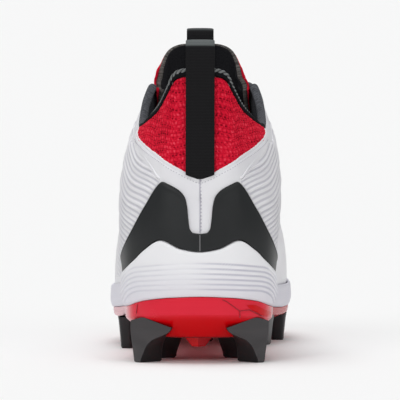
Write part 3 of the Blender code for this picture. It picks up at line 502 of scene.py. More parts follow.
class Shell:
    """Grids of points that are joined into one mesh."""

    def __init__(self) -> None:
        """Starts empty."""
        self.points: list[Array] = []
        self.measures: list[Array] = []
        self.faces: list[Array] = []
        self.slots: list[Array] = []
        self.count = 0

    def add(self, points: Array, measures: Array | None = None) -> Array:
        """Adds points and returns their numbers in the same layout.

        Args:
            points: The points.
            measures: What the finishes read there.

        Returns:
            The numbers.
        """
        flat = points.reshape(-1, 3)
        self.points.append(flat)
        self.measures.append(flat / MM if measures is None else measures.reshape(-1, 3))
        numbers = np.arange(self.count, self.count + len(flat)).reshape(points.shape[:-1])
        self.count += len(flat)
        return numbers

    def quads(self, grid: Array, slot: int = 0, closed: bool = False) -> None:
        """Faces over a grid of numbers.

        Args:
            grid: The numbers.
            slot: The finish.
            closed: Whether each row closes on itself.
        """
        if closed:
            grid = np.concatenate([grid, grid[:, :1]], axis=1)
        faces = np.stack([grid[:-1, :-1], grid[:-1, 1:], grid[1:, 1:], grid[1:, :-1]], axis=-1).reshape(-1, 4)
        self.faces.append(faces)
        self.slots.append(np.full(len(faces), slot))

    def join(self, one: Array, two: Array, slot: int = 0, closed: bool = False) -> None:
        """Faces between two rows of numbers."""
        self.quads(np.stack([one, two]), slot, closed)

    def ladder(self, ring: Array, points: Array, across: int = 24, slot: int = 0,
               shape: Callable[[Array, Array], Array] | None = None) -> None:
        """Closes a ring by rungs from one side to the other. shape lifts them by (along, across).

        Args:
            ring: The ring's numbers.
            points: Its points.
            across: How many faces a rung has.
            slot: The finish.
            shape: How far each point is lifted.
        """
        half = len(ring) // 2
        share = np.linspace(0.0, 1.0, across + 1)[None, :, None]
        left, right = points[1:half], points[:half:-1]
        rungs = left[:, None] * (1 - share) + right[:, None] * share
        if shape:
            along = np.linspace(0.0, 1.0, half + 1)[1:half, None]
            rungs[..., 2] += shape(along, share[..., 0])
        inner = self.add(rungs[:, 1:-1])
        grid = np.concatenate([ring[1:half, None], inner, ring[:half:-1, None]], axis=1)
        first = np.full((1, across + 1), ring[0])
        last = np.full((1, across + 1), ring[half])
        self.quads(np.concatenate([first, grid, last]), slot)

    def build(self, name: str, finishes: Sequence["Finish"], shift: Array) -> bpy.types.Object:
        """Makes the object, its faces turned outwards and shaded smooth.

        Args:
            name: The piece's name.
            finishes: Its finishes, by slot.
            shift: From the last's frame to the shared one.

        Returns:
            The object.
        """
        points = np.concatenate(self.points) + shift
        mesh = bpy.data.meshes.new(name)
        faces = [tuple(dict.fromkeys(face)) for face in np.concatenate(self.faces).tolist()]
        mesh.from_pydata(points.tolist(), [], faces)
        mesh.polygons.foreach_set("material_index", np.concatenate(self.slots).astype(np.int32))
        held = mesh.attributes.new("measure", "FLOAT_VECTOR", "POINT")
        held.data.foreach_set("vector", np.concatenate(self.measures).astype(np.float32).ravel())
        shape = bmesh.new()
        shape.from_mesh(mesh)
        bmesh.ops.remove_doubles(shape, verts=shape.verts, dist=1e-6)
        bmesh.ops.recalc_face_normals(shape, faces=shape.faces)
        shape.to_mesh(mesh)
        shape.free()
        mesh.shade_smooth()
        for finish in finishes:
            mesh.materials.append(finish.material())
        made = bpy.data.objects.new(name, mesh)
        bpy.context.scene.collection.objects.link(made)
        LOG.info("%s: %d faces", name, len(mesh.polygons))
        return made


class Value:
    """A socket of numbers. Arithmetic on it adds Math nodes."""

    def __init__(self, graph: "Graph", socket: bpy.types.NodeSocket) -> None:
        """Wraps a socket."""
        self.graph = graph
        self.socket = socket

    def _math(self, kind: str, *values: "Value | float") -> "Value":
        """Adds a Math node."""
        made = self.graph.node("ShaderNodeMath", {"operation": kind}, dict(enumerate(values)))
        return Value(self.graph, made.outputs[0])

    def __add__(self, other: "Value | float") -> "Value":
        """The sum."""
        return self._math("ADD", self, other)

    def __sub__(self, other: "Value | float") -> "Value":
        """The difference."""
        return self._math("SUBTRACT", self, other)

    def __rsub__(self, other: float) -> "Value":
        """The difference from a number."""
        return self._math("SUBTRACT", other, self)

    def __mul__(self, other: "Value | float") -> "Value":
        """The product."""
        return self._math("MULTIPLY", self, other)

    __radd__ = __add__
    __rmul__ = __mul__

    def wave(self) -> "Value":
        """The sine."""
        return self._math("SINE", self)

    def between(self, low: float, high: float) -> "Value":
        """Rises smoothly from 0 at low to 1 at high."""
        made = self.graph.node(
            "ShaderNodeMapRange", {"interpolation_type": "SMOOTHSTEP"},
            {"Value": self, "From Min": low, "From Max": high},
        )
        return Value(self.graph, made.outputs[0])


Colour = tuple[float, float, float]
Relief = Callable[[Array, Array, Array], tuple[Array, Array]]


class Graph:
    """The nodes of one material, or of the sky."""

    def __init__(self, owner: bpy.types.Material | bpy.types.World, shader: str = "Principled BSDF") -> None:
        """Starts from the owner's own shader and output."""
        self.owner = owner
        self.owner.use_nodes = True
        self.tree = self.owner.node_tree
        self.shader = self.tree.nodes[shader]

    def node(self, kind: str, settings: dict | None = None, inputs: dict | None = None) -> bpy.types.Node:
        """Adds a node.

        Args:
            kind: The node's type.
            settings: Its own settings, set first.
            inputs: Values or links, by the socket's name or number.

        Returns:
            The node.
        """
        made = self.tree.nodes.new(kind)
        for name, value in (settings or {}).items():
            setattr(made, name, value)
        for name, value in (inputs or {}).items():
            self.feed(made.inputs[name], value)
        return made

    def feed(self, socket: bpy.types.NodeSocket, value: object) -> None:
        """Links a value into a socket, or sets it.

        Args:
            socket: The socket.
            value: A value or a link.
        """
        if isinstance(value, Value):
            value = value.socket
        if isinstance(value, bpy.types.NodeSocket):
            self.tree.links.new(value, socket)
        elif isinstance(value, tuple) and socket.type == "RGBA":
            socket.default_value = (*value, 1.0)
        else:
            socket.default_value = value

    def measure(self) -> tuple[Value, Value, Value]:
        """Millimetres round the shoe, up it, and the mark."""
        held = self.node("ShaderNodeAttribute", {"attribute_name": "measure"})
        parts = self.node("ShaderNodeSeparateXYZ", inputs={0: held.outputs["Vector"]})
        return tuple(Value(self, parts.outputs[k]) for k in range(3))

    def vector(self, x: Value | float, y: Value | float, z: Value | float = 0.0) -> bpy.types.NodeSocket:
        """A vector of three values."""
        return self.node("ShaderNodeCombineXYZ", inputs={0: x, 1: y, 2: z}).outputs[0]

    def spot(self) -> bpy.types.NodeSocket:
        """The place in the shoe's own frame."""
        return self.node("ShaderNodeTexCoord").outputs["Object"]

    def noise(self, scale: float, detail: float = 2.0, vector: bpy.types.NodeSocket | None = None,
              rough: float = 0.5) -> Value:
        """Cloudy noise about 0.5."""
        made = self.node("ShaderNodeTexNoise", inputs={
            "Vector": vector or self.spot(), "Scale": scale, "Detail": detail, "Roughness": rough})
        return Value(self, made.outputs["Fac"])

    def cells(self, scale: float, vector: bpy.types.NodeSocket | None = None, random: float = 1.0) -> Value:
        """The distance to the nearest of scattered points."""
        made = self.node("ShaderNodeTexVoronoi", inputs={
            "Vector": vector or self.spot(), "Scale": scale, "Randomness": random})
        return Value(self, made.outputs["Distance"])

    def mix(self, share: Value | float, one: object, two: object) -> bpy.types.NodeSocket:
        """A colour between two.

        Args:
            share: How much of the second.
            one: The first.
            two: The second.

        Returns:
            The colour.
        """
        made = self.node("ShaderNodeMix", {"data_type": "RGBA"})
        self.feed(made.inputs[0], share)
        self.feed(made.inputs[6], one)
        self.feed(made.inputs[7], two)
        return made.outputs[2]

    def bump(self, height: Value, strength: float, depth: float) -> bpy.types.NodeSocket:
        """A normal from a height."""
        made = self.node("ShaderNodeBump", inputs={"Height": height, "Strength": strength, "Distance": depth})
        return made.outputs[0]

    def finish(self, **inputs: object) -> bpy.types.Material | bpy.types.World:
        """Feeds the shader: base_color becomes Base Color, and so on."""
        for name, value in inputs.items():
            self.feed(self.shader.inputs[name.replace("_", " ").title().replace("Ior", "IOR")], value)
        return self.owner


@dataclass(frozen=True)
class Finish:
    """What a surface is made of."""

    name: str

    def material(self) -> bpy.types.Material:
        """The material, made once."""
        found = bpy.data.materials.get(self.name)
        return found or self.dress(Graph(bpy.data.materials.new(self.name)))

    def dress(self, graph: Graph) -> bpy.types.Material:
        """Builds the nodes."""
        raise NotImplementedError


@dataclass(frozen=True)
class Skin(Finish):
    """Smooth synthetic skin with a fine grain. Where its mark falls to 0 it takes a darker tone of painted
    shade.
    """

    tone: Colour = (0.86, 0.855, 0.880)
    shade: Colour = (0.78, 0.772, 0.808)
    painted_shade: Colour = (0.0, 0.0, 0.0)
    full: float = 0.0
    rough: float = 0.46
    coat: float = 0.12
    grain: float = 0.22
    shine: float = 0.40

    def dress(self, graph: Graph) -> bpy.types.Material:
        """A grain of small cells, with soft patches of tone and gloss."""
        cloud = graph.noise(28.0, 3.0)
        grain = graph.noise(2600.0, 3.0) + graph.cells(1500.0) * 0.5
        tone = graph.mix(cloud.between(0.35, 0.75), self.tone, self.shade)
        if self.full:
            # Painted shade: where the mark falls to 0 the tone darkens.
            _, _, mark = graph.measure()
            tone = graph.mix(mark.between(0.0, self.full), self.painted_shade, tone)
        return graph.finish(
            base_color=tone,
            roughness=cloud * 0.16 + (self.rough - 0.08),
            specular_ior_level=self.shine,
            coat_weight=self.coat,
            coat_roughness=0.35,
            normal=graph.bump(grain, self.grain, 0.00006),
        )


@dataclass(frozen=True)
class Foam(Finish):
    """Moulded white foam with a fine pebble, painted with shade: cooler towards its foot and dark in its
    grooves.
    """

    tone: Colour = (0.92, 0.92, 0.94)
    low: Colour = (0.76, 0.75, 0.82)
    groove: Colour = (0.56, 0.545, 0.64)
    turn: tuple[float, float] = (24.0, 60.0)

    def dress(self, graph: Graph) -> bpy.types.Material:
        """Fine pebbles. The mark holds how deep a groove is."""
        _, up, groove = graph.measure()
        cloud = graph.noise(22.0, 2.0)
        pebble = graph.cells(1900.0) + graph.noise(3200.0, 2.0) * 0.6
        # Painted shade: darker and cooler towards the foot, and dark in the grooves.
        tone = graph.mix((up + (cloud - 0.5) * 12.0).between(*self.turn), self.low, self.tone)
        return graph.finish(
            base_color=graph.mix(groove.between(0.05, 1.1), tone, self.groove),
            roughness=cloud * 0.14 + 0.42,
            normal=graph.bump(pebble, 0.20, 0.00007),
        )


@dataclass(frozen=True)
class Knit(Finish):
    """Coarse knit with painted light and shade: light yarn on top, dark gaps between."""

    tone: Colour = (0.70, 0.007, 0.032)
    light: Colour = (0.93, 0.085, 0.130)
    dark: Colour = (0.20, 0.000, 0.008)

    def dress(self, graph: Graph) -> bpy.types.Material:
        """The mark holds how high the yarn stands and so its painted light and shade. Fibres and broad noise
        patches break it up.
        """
        _, _, stand = graph.measure()
        fibre = graph.noise(5200.0, 3.0, rough=0.7)
        blotch = graph.noise(520.0, 3.0)
        broad_patch = graph.noise(90.0, 2.0)
        height = stand + (fibre - 0.5) * 0.5 + (blotch - 0.5) * 0.9 + (broad_patch - 0.5) * 0.5
        # Painted shade in the gaps and painted highlight on the tops of the lumps.
        low = graph.mix(height.between(0.0, 0.60), self.dark, self.tone)
        return graph.finish(
            base_color=graph.mix(height.between(0.58, 1.10), low, self.light),
            roughness=0.90,
            specular_ior_level=0.12,
            normal=graph.bump(fibre + blotch, 0.5, 0.00014),
        )


@dataclass(frozen=True)
class Heather(Finish):
    """Brushed dark cloth with lighter flecks, and a painted highlight where its mark is high."""

    dark: Colour = (0.010, 0.010, 0.012)
    light: Colour = (0.052, 0.054, 0.060)
    lit: Colour = (0.19, 0.20, 0.20)

    def dress(self, graph: Graph) -> bpy.types.Material:
        """Short flecks along the yarn."""
        along, up, mark = graph.measure()
        fleck = graph.noise(1.5, 4.0, graph.vector(along * 0.9 + up * 0.5, up * 1.1 - along * 0.4), 0.75)
        fibre = graph.noise(4200.0, 3.0, rough=0.7)
        height = fleck + fibre * 0.5
        tone = graph.mix(height.between(0.58, 1.00), self.dark, self.light)
        # Painted highlight where the mark is high.
        return graph.finish(
            base_color=graph.mix(mark * (fleck * 0.5 + 0.6), tone, self.lit),
            roughness=0.92,
            specular_ior_level=0.12,
            normal=graph.bump(height, 0.5, 0.00025),
        )


@dataclass(frozen=True)
class Webbing(Finish):
    """Tight flat webbing, with a painted highlight where its mark is high."""

    dark: Colour = (0.0060, 0.0058, 0.0066)
    light: Colour = (0.0180, 0.0175, 0.0190)
    lit: Colour = (0.150, 0.165, 0.165)
    pitch: float = 0.8
    shine: float = 0.15

    def dress(self, graph: Graph) -> bpy.types.Material:
        """Chevron ribs of crossed yarn. Its own measure runs across it and along it."""
        across, along, mark = graph.measure()
        beat = 2 * math.pi / self.pitch
        rib = (along * beat + (across * (beat * 0.5)).wave() * 0.9).wave() * 0.5 + 0.5
        warp = (across * (beat * 1.3)).wave() * 0.5 + 0.5
        fibre = graph.noise(4800.0, 2.0)
        height = rib * 0.6 + warp * 0.25 + fibre * 0.4
        tone = graph.mix(height.between(0.45, 1.15), self.dark, self.light)
        # Painted highlight where the mark is high.
        return graph.finish(
            base_color=graph.mix(mark * (height * 0.5 + 0.5), tone, self.lit),
            roughness=0.85,
            specular_ior_level=self.shine,
            normal=graph.bump(height, 0.55, 0.00014),
        )


@dataclass(frozen=True)
class Plain(Finish):
    """One even tone for seams and moulded lines."""

    tone: Colour = (0.40, 0.385, 0.46)
    rough: float = 0.6

    def dress(self, graph: Graph) -> bpy.types.Material:
        """Nearly even, with a faint cloud in its gloss."""
        cloud = graph.noise(90.0, 2.0)
        return graph.finish(base_color=self.tone, roughness=cloud * 0.1 + (self.rough - 0.05))


@dataclass(frozen=True)
class Plastic(Finish):
    """Moulded plastic: a deep tone of painted shade where its mark is low and a lighter lit one where it is
    high.
    """

    tone: Colour = (0.062, 0.058, 0.060)
    deep: Colour = (0.009, 0.008, 0.009)
    turn: tuple[float, float] = (0.0, 1.0)
    rough: float = 0.38
    coat: float = 0.04
    grain: float = 0.25
    shine: float = 0.28

    def dress(self, graph: Graph) -> bpy.types.Material:
        """Faint flow marks in its gloss."""
        _, _, mark = graph.measure()
        # Painted light and shade: the mark picks the deep shaded tone or the lit tone.
        return self.gloss(graph, graph.mix(mark.between(*self.turn), self.deep, self.tone))

    def gloss(self, graph: Graph, tone: bpy.types.NodeSocket) -> bpy.types.Material:
        """Lays a tone under the gloss."""
        cloud = graph.noise(60.0, 3.0)
        fine = graph.noise(1400.0, 2.0)
        return graph.finish(
            base_color=tone,
            roughness=cloud * 0.12 + fine * 0.05 + (self.rough - 0.08),
            specular_ior_level=self.shine,
            coat_weight=self.coat,
            coat_roughness=0.15,
            normal=graph.bump(fine + cloud * 2.0, self.grain, 0.00008),
        )


@dataclass(frozen=True)
class ClearPlate(Plastic):
    """The plate's plastic: deep red of painted shade below its crease, a lighter lit band above, and nearly
    clear along the outer side.
    """

    tone: Colour = (0.80, 0.022, 0.048)
    deep: Colour = (0.66, 0.000, 0.003)
    pale: Colour = (0.80, 0.42, 0.46)
    front: Colour = (0.50, 0.010, 0.020)
    turn: tuple[float, float] = (2.5, 3.7)
    rough: float = 0.24
    coat: float = 0.05
    shine: float = 0.14
    under: Colour = (0.11, 0.000, 0.002)
    grain: float = 0.10

    def dress(self, graph: Graph) -> bpy.types.Material:
        """Reads its place round the shoe to fade."""
        along, _, mark = graph.measure()
        toe = 1.0 - along.between(-330.0, -270.0)
        # Painted light and shade: deep red on the bowl below the crease, the lighter lit tone on the band
        # above it.
        red = graph.mix(mark.between(*self.turn), self.deep, self.tone)
        red = graph.mix(along.between(48.0, 70.0) + toe, red, self.front)
        # Painted shade: the rows along the belly take a near-black red, which also throws less red light on
        # the floor below.
        red = graph.mix(mark.between(0.7, 1.3), self.under, red)
        return self.gloss(graph, graph.mix(along.between(-72.0, -46.0) + toe, self.pale, red))


@dataclass(frozen=True)
class Paper(Finish):
    """Plain pale paper."""

    tone: Colour = (0.925, 0.925, 0.920)

    def dress(self, graph: Graph) -> bpy.types.Material:
        """Nearly even, with a faint cloud."""
        cloud = graph.noise(0.7, 2.0)
        return graph.finish(base_color=graph.mix(cloud * 0.1, self.tone, (0.90, 0.90, 0.90)), roughness=0.95,
                            specular_ior_level=0.0)


class Cloth(Enum):
    """The finishes of the shoe and its floor."""

    WHITE = Skin("white_skin_look")
    # PANEL's darker low tone is painted shade in the troughs of its ridges; BLACK's is painted shade along
    # the heel counter's edges.
    PANEL = Skin("ridged_skin_look", tone=(0.85, 0.845, 0.865), shade=(0.78, 0.77, 0.80),
                 painted_shade=(0.64, 0.63, 0.68), full=0.75, rough=0.50)
    BLACK = Skin("black_skin_look", tone=(0.0190, 0.0205, 0.0215), shade=(0.0260, 0.0275, 0.0285),
                 painted_shade=(0.002, 0.002, 0.002), full=1.0, rough=0.44, coat=0.02, grain=0.30, shine=0.22)
    FOAM = Foam("foam_look")
    KNIT = Knit("red_knit_look")
    # A darker copy of the lining cloth: painted shade for the lining where it lies in shade, inside the
    # tongue, on the insole and in the eyelets.
    SHADED_LINING = Heather("shaded_lining_look", dark=(0.004, 0.004, 0.005), light=(0.020, 0.020, 0.023))
    COLLAR = Heather("collar_look", dark=(0.040, 0.041, 0.046), light=(0.165, 0.172, 0.190))
    BINDING = Heather("binding_look", dark=(0.003, 0.003, 0.004), light=(0.012, 0.012, 0.014))
    ROPE = Heather("rope_look", dark=(0.006, 0.006, 0.006), light=(0.030, 0.031, 0.032),
                   lit=(0.24, 0.25, 0.25))
    # A lighter copy of the lining cloth for the tongue's rolled rim: painted light where the rolled edge
    # catches the light.
    RIM = Heather("tongue_rim_look", dark=(0.030, 0.027, 0.025), light=(0.215, 0.200, 0.190))
    WEBBING = Webbing("webbing_look")
    LACE = Webbing("lace_look", dark=(0.58, 0.58, 0.60), light=(0.86, 0.86, 0.87), pitch=0.9, shine=0.3)
    THREAD = Webbing("thread_look", dark=(0.52, 0.51, 0.56), light=(0.66, 0.65, 0.70), pitch=0.4, shine=0.3)
    SEAM = Plain("seam_look", tone=(0.50, 0.49, 0.56))
    COUNTER_SEAM = Plain("counter_seam_look", tone=(0.13, 0.13, 0.135), rough=0.5)
    # PLATE: its deep and under tones are painted shade and its tone the lit band. PLATE_LINE: dark strips of
    # painted shade for the plate's moulded grooves.
    PLATE = ClearPlate("red_plate_look")
    PLATE_LINE = Plain("plate_line_look", tone=(0.36, 0.0, 0.012), rough=0.3)
    # NUB and STUD: their deep tones are painted shade, their tones the lit faces.
    NUB = Plastic("red_nub_look", tone=(0.80, 0.012, 0.016), deep=(0.42, 0.000, 0.008), rough=0.30, coat=0.3)
    STUD = Plastic("stud_look")
    FLOOR = Paper("floor_paper")


@dataclass
class Part:
    """A sub-assembly that is cut from the last and handed to the frame."""

    last: Last

    def place(self, shell: Shell, name: str, cloths: Sequence[Cloth], nodes: Sequence[str] = (),
              slot: str = "") -> bpy.types.Object:
        """Makes a shell's object, rides it, and lets it stand for solids.

        Args:
            shell: The points and faces.
            name: The piece's name.
            cloths: Its finishes, by the shell's slots.
            nodes: The solids it stands for.
            slot: The record's material slot; not used.

        Returns:
            The object.
        """
        made = shell.build(name, [cloth.value for cloth in cloths], self.last.shift)
        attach(made, "root")
        if nodes:
            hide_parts(*nodes)
        return made

    def patch(self, name: str, cloth: Cloth, columns: Array, low: Array, high: Array,
              relief: Relief, under: float, rows: int, nodes: Sequence[str] = (), slot: str = "",
              edge: float = 0.03, ends: float = 0.02) -> bpy.types.Object:
        """Makes an overlay on the upper, rounded down to it along its edges.

        Args:
            name: The piece's name.
            cloth: Its finish.
            columns: Places round the shoe.
            low: How far up it starts, at each column.
            high: How far up it ends, at each column.
            relief: Gives the height of its face and its mark, from places round, up, and shares of its rows.
            under: How far its underside lies off the upper.
            rows: How many rows it has.
            nodes: The solids it stands for.
            slot: The record's material slot, handed on to place.
            edge: The share of its rows that rounds over.
            ends: The share of its columns that rounds over.

        Returns:
            The object.
        """
        shares, round_up = rounded(rows, edge)
        around = columns[None, :] + 0.0 * shares[:, None]
        up = low[None, :] + (high - low)[None, :] * shares[:, None]
        run = np.linspace(0.0, 1.0, len(columns))
        near = np.minimum(run, 1.0 - run) / max(ends, 1e-6)
        round_across = np.sqrt(1.0 - (1.0 - np.clip(near, 0.0, 1.0)) ** 2)
        height, mark = relief(around, up, shares[:, None] + 0.0 * around)
        points = self.last.skin(around, up, under + height * round_up[:, None] * round_across[None, :])
        measures = self.last.measure(around, points)
        measures[..., 2] = mark
        shell = Shell()
        shell.quads(shell.add(points, measures))
        return self.place(shell, name, [cloth], nodes, slot)

    def stitches(self, name: str, cloth: Cloth, lines: Sequence[tuple[Array, Array]],
                 pitch: float = 0.0026, length: float = 0.0020, thick: float = 0.0007) -> bpy.types.Object:
        """Rows of stitches that lie on a surface.

        Args:
            name: The piece's name.
            cloth: The thread.
            lines: For each row its points and the way the surface looks there.
            pitch: From one stitch to the next.
            length: Of one stitch.
            thick: Of the thread.

        Returns:
            The object.
        """
        shell = Shell()
        angle = turns(6)
        hump = np.sin(np.linspace(0.0, math.pi, 5))
        for line, normals in lines:
            run = lengths(line)
            for start in np.arange(pitch / 2, run[-1] - length, pitch):
                at = np.linspace(start, start + length, 5)
                path, out = read_chain(at, run, line), read_chain(at, run, normals)
                side = np.cross(out, unit(path[-1] - path[0]))
                size = thick / 2 * (0.45 + 0.55 * hump)[:, None, None]
                centre = path + out * (hump * thick * 0.35)[:, None]
                ring = centre[:, None] + spokes(side, out, angle) * size
                shell.quads(shell.add(ring, ring / MM * np.array([1.0, 1.0, 0.0])), closed=True)
        return self.place(shell, name, [cloth])

    def strap(self, name: str, cloth: Cloth, path: Array, face: Array, wide: float, thick: float,
              nodes: Sequence[str] = (), slot: str = "", mark: Array | None = None,
              narrow: Array | None = None) -> bpy.types.Object:
        """Makes flat webbing with rounded edges along a path.

        Args:
            name: The piece's name.
            cloth: Its finish.
            path: Its middle line.
            face: The way that its face looks at each point.
            wide: Its width.
            thick: Its thickness.
            nodes: The solids it stands for.
            slot: The record's material slot, handed on to place.
            mark: What the finish reads at each point.
            narrow: The share of its width that it has at each point.

        Returns:
            The object.
        """
        shell = Shell()
        self.sweep(shell, path, face, wide, thick, mark, narrow)
        return self.place(shell, name, [cloth], nodes, slot)

    @staticmethod
    def sweep(shell: Shell, path: Array, face: Array, wide: float, thick: float,
              mark: Array | None = None, narrow: Array | None = None) -> None:
        """Adds one flat strap to a shell.

        Args:
            shell: Takes the strap.
            path: Its middle line.
            face: The way its face looks.
            wide: Its width.
            thick: Its thickness.
            mark: What the finish reads.
            narrow: The share of its width at each point.
        """
        run = unit(np.gradient(path, axis=0))
        side = unit(np.cross(run, face))
        out = np.cross(side, run)
        angle = turns(28)
        c, s = np.cos(angle), np.sin(angle)
        size = (np.abs(c) ** 3.4 + np.abs(s) ** 3.4) ** (-1 / 3.4)
        across, deep = c * size * wide / 2, s * size * thick / 2
        share = np.ones(len(path)) if narrow is None else narrow
        ring = (path[:, None] + side[:, None] * (across[None, :] * share[:, None])[..., None]
                + out[:, None] * (deep[None, :] + 0.0 * share[:, None])[..., None])
        marks = np.zeros(len(path)) if mark is None else mark
        measures = stacked(across[None, :] / MM, lengths(path)[:, None] / MM, marks[:, None])
        grid = shell.add(ring, measures)
        shell.quads(grid, closed=True)
        for end, at in ((grid[0], 0), (grid[-1], -1)):
            tip = shell.add(np.repeat(path[at][None], len(angle), axis=0), measures[at])
            shell.join(end, tip, closed=True)

    def seam(self, name: str, cloth: Cloth, line: Array, face: Array, wide: float,
             thick: float) -> None:
        """Makes a narrow moulded or sewn line that lies on a surface."""
        self.strap(name, cloth, line + face * thick / 4, face, wide, thick)


def both(places: Array) -> Array:
    """Places on both sides of the heel, outer side first."""
    return np.concatenate([-places[:0:-1], places])


class Crease(NamedTuple):
    """A soft trough in the skin, by its middle, its reach and its depth."""

    place: float
    up: float
    reach: float
    wide: float
    slant: float
    depth: float


@dataclass
class Upper(Part):
    """The hollow skin with its dark lining."""

    columns: int = 380
    rows: int = 84
    wall: float = UPPER_WALL
    ridge_share: float = 0.35
    ridge_off: float = 2.4
    ridge_wide: float = 1.5
    creases: tuple[Crease, ...] = (
        Crease(0.640, 0.60, 0.34, 0.0100, 0.050, 0.00065),
        Crease(0.690, 0.66, 0.32, 0.0080, 0.030, 0.00080),
        Crease(0.735, 0.60, 0.36, 0.0090, 0.010, 0.00070),
        Crease(0.782, 0.68, 0.28, 0.0070, -0.015, 0.00050),
        Crease(0.330, 0.72, 0.16, 0.0120, 0.080, 0.00055),
        Crease(0.380, 0.66, 0.20, 0.0110, 0.090, 0.00050),
    )

    def relief(self, around: Array, up: Array) -> Array:
        """Creases where the shoe bends, each with a soft ridge beside it.

        Args:
            around: Places round the shoe.
            up: How far up the wall.

        Returns:
            How far the skin is lifted.
        """
        place = self.last.side(around)
        lift = 0.0 * place
        for crease in self.creases:
            middle = crease.place + crease.slant * (up - crease.up)
            ridge = middle + self.ridge_off * crease.wide
            reach = crease.depth * bell(up, crease.up, crease.reach)
            lift = lift - reach * bell(place, middle, crease.wide)
            lift = lift + self.ridge_share * reach * bell(place, ridge, self.ridge_wide * crease.wide)
        return lift

    def build(self) -> None:
        """Makes the outside, the edge and the lining."""
        last = self.last
        around = np.linspace(0.0, 2.0, self.columns, endpoint=False)[None, :]
        ups = np.concatenate([np.linspace(-1.0, 0.0, 7)[:-1], np.linspace(0.0, 1.0, self.rows)])[:, None]
        outside = last.skin(around, ups, self.relief(around, ups))
        inside = last.skin(around, ups[::-2], -self.wall + 0.0 * around)
        shell = Shell()
        outer = shell.add(outside, last.measure(around, outside))
        inner = shell.add(inside, last.measure(around, inside))
        shell.quads(outer, closed=True)
        shell.join(outer[-1], inner[0], slot=1, closed=True)
        shell.quads(inner, slot=1, closed=True)
        shell.join(inner[-1], outer[0], slot=1, closed=True)
        self.place(shell, "upper_skin", [Cloth.WHITE, Cloth.COLLAR], ["upper"], "white_skin")


@dataclass
class SidePanels(Part):
    """The ridged skin on both sides, ahead of the piping."""

    start: float = 0.0785
    end: float = 0.640
    pitch: float = 2.85
    lean: float = 0.30
    ridge: float = 0.00090
    base: float = 0.00030
    counter_end: float = 0.40
    top: Table = field(default_factory=lambda: Table(
        "height",
        (0.076, 0.628), (0.100, 0.654), (0.125, 0.684), (0.150, 0.713), (0.175, 0.735), (0.200, 0.746),
        (0.240, 0.748), (0.310, 0.764), (0.370, 0.815), (0.430, 0.860),
    ))

    def relief(self, around: Array, up: Array, share: Array) -> tuple[Array, Array]:
        """Wavy ridges that rise forwards, soft at the panel's front end.

        Args:
            around: Places round the shoe.
            up: How far up the wall.
            share: Shares of the patch's rows.

        Returns:
            The height of the face and its mark.
        """
        place = self.last.side(around)
        along = place * HALF_ROUND / MM
        height = self.last.wall(around, up)[..., 2] / MM
        wave = 0.55 * np.sin(along / 8.5 + height / 13.0) + 0.30 * np.sin(height / 4.7 - along / 15.0)
        phase = (height * math.cos(self.lean) - along * math.sin(self.lean)) / self.pitch + wave * 0.55
        swell = 0.5 + 0.5 * np.cos(2 * math.pi * phase)
        fade = 1.0 - soft_step(self.end - 0.16, self.end - 0.02, place)
        lift = self.base * fade + self.ridge * swell * fade * (0.75 + 0.25 * np.sin(phase * 1.7))
        # The mark falls in the troughs, where the ridged skin's finish paints shade.
        return lift, 1.0 - (1.0 - swell) * fade

    def build(self) -> None:
        """Makes both panels."""
        place = np.linspace(self.start, self.end, 340)
        last = self.last
        blend = soft_step(0.37, 0.44, place)
        counter = COUNTER_LINE.at("height", np.minimum(place, self.counter_end)) * COLLAR_HEIGHT
        foot = np.where(place < self.counter_end, counter + 0.0009, last.lip(place) + 0.0039)
        for name, sign in (("side_panel_inner", 1.0), ("side_panel_outer", -1.0)):
            around = np.mod(sign * place, 2.0)
            low = last.up_at(around, foot)
            top = last.up_at(around, self.top.at("height", np.minimum(place, 0.43)) * COLLAR_HEIGHT)
            high = top * (1 - blend) + (EYESTAY_LOW + 0.01) * blend
            self.patch(name, Cloth.PANEL, around, low, np.maximum(high, low + 0.002), self.relief,
                       -0.00012, 104, slot="white_skin", edge=0.02, ends=0.01)


@dataclass
class QuarterEdge(Part):
    """The smooth white edge round the knit, with its stitches and the seam of the tab."""

    front: float = 0.250
    reach: float = 0.0150
    over: float = 0.0010
    rise: float = 0.00175
    sewn: float = 0.0024
    seam_low: float = 0.0705
    seam_high: float = 0.0990

    def relief(self, around: Array, up: Array, share: Array) -> tuple[Array, Array]:
        """Rises from the skin to a full edge over the knit, with a groove under the stitches.

        Args:
            around: Places round the shoe.
            up: How far up the wall.
            share: Shares of the patch's rows.

        Returns:
            The height of the face and its mark.
        """
        groove = 0.00030 * bell(share, 0.86, 0.035)
        along = self.last.measure(around, self.last.wall(around, up))[..., 0]
        seam = 0.00045 * bell(along, 0.0, 0.45)
        return self.rise * soft_step(0.0, 0.80, share) - groove - seam, share

    def build(self) -> None:
        """Makes the edge, its stitches and the tab's seam."""
        last = self.last
        place = np.linspace(0.0, self.front, 230)
        around = both(place)
        line = CUFF_LINE.at("height", np.minimum(last.side(around), CUFF_FRONT)) * COLLAR_HEIGHT
        thin = np.minimum(self.reach, 0.0030 + (self.front - last.side(around)) * 0.075)
        high = np.minimum(last.up_at(around, line + self.over), 0.985)
        low = last.up_at(around, line - thin)
        self.patch("quarter_edge", Cloth.WHITE, around, low, np.maximum(high, low + 0.01), self.relief,
                   -0.00020, 44, slot="white_skin", edge=0.06, ends=0.01)
        inner = both(np.linspace(0.0, 0.200, 240))
        up = last.up_at(inner, CUFF_LINE.at("height", last.side(inner)) * COLLAR_HEIGHT - self.sewn)
        self.stitches("quarter_stitches", Cloth.THREAD,
                      [(last.skin(inner, up, self.rise - 0.0004), last.normal(inner, up))],
                      pitch=0.0017, length=0.0012, thick=0.0005)
        heights = np.linspace(self.seam_low, self.seam_high, 60)
        up = last.up_at(np.zeros(60), heights)
        share = soft_step(0.084, 0.099, heights)
        spots, out = last.skin(np.zeros(60), up, 0.0001 + 0.0012 * share), last.normal(np.zeros(60), up)
        self.seam("tab_seam", Cloth.SEAM, spots, out, 0.0004, 0.0004)
        self.stitches("tab_stitches", Cloth.SEAM, [(spots + np.array([0.0006, 0.0, 0.0]), out)],
                      pitch=0.0019, length=0.0010, thick=0.0005)


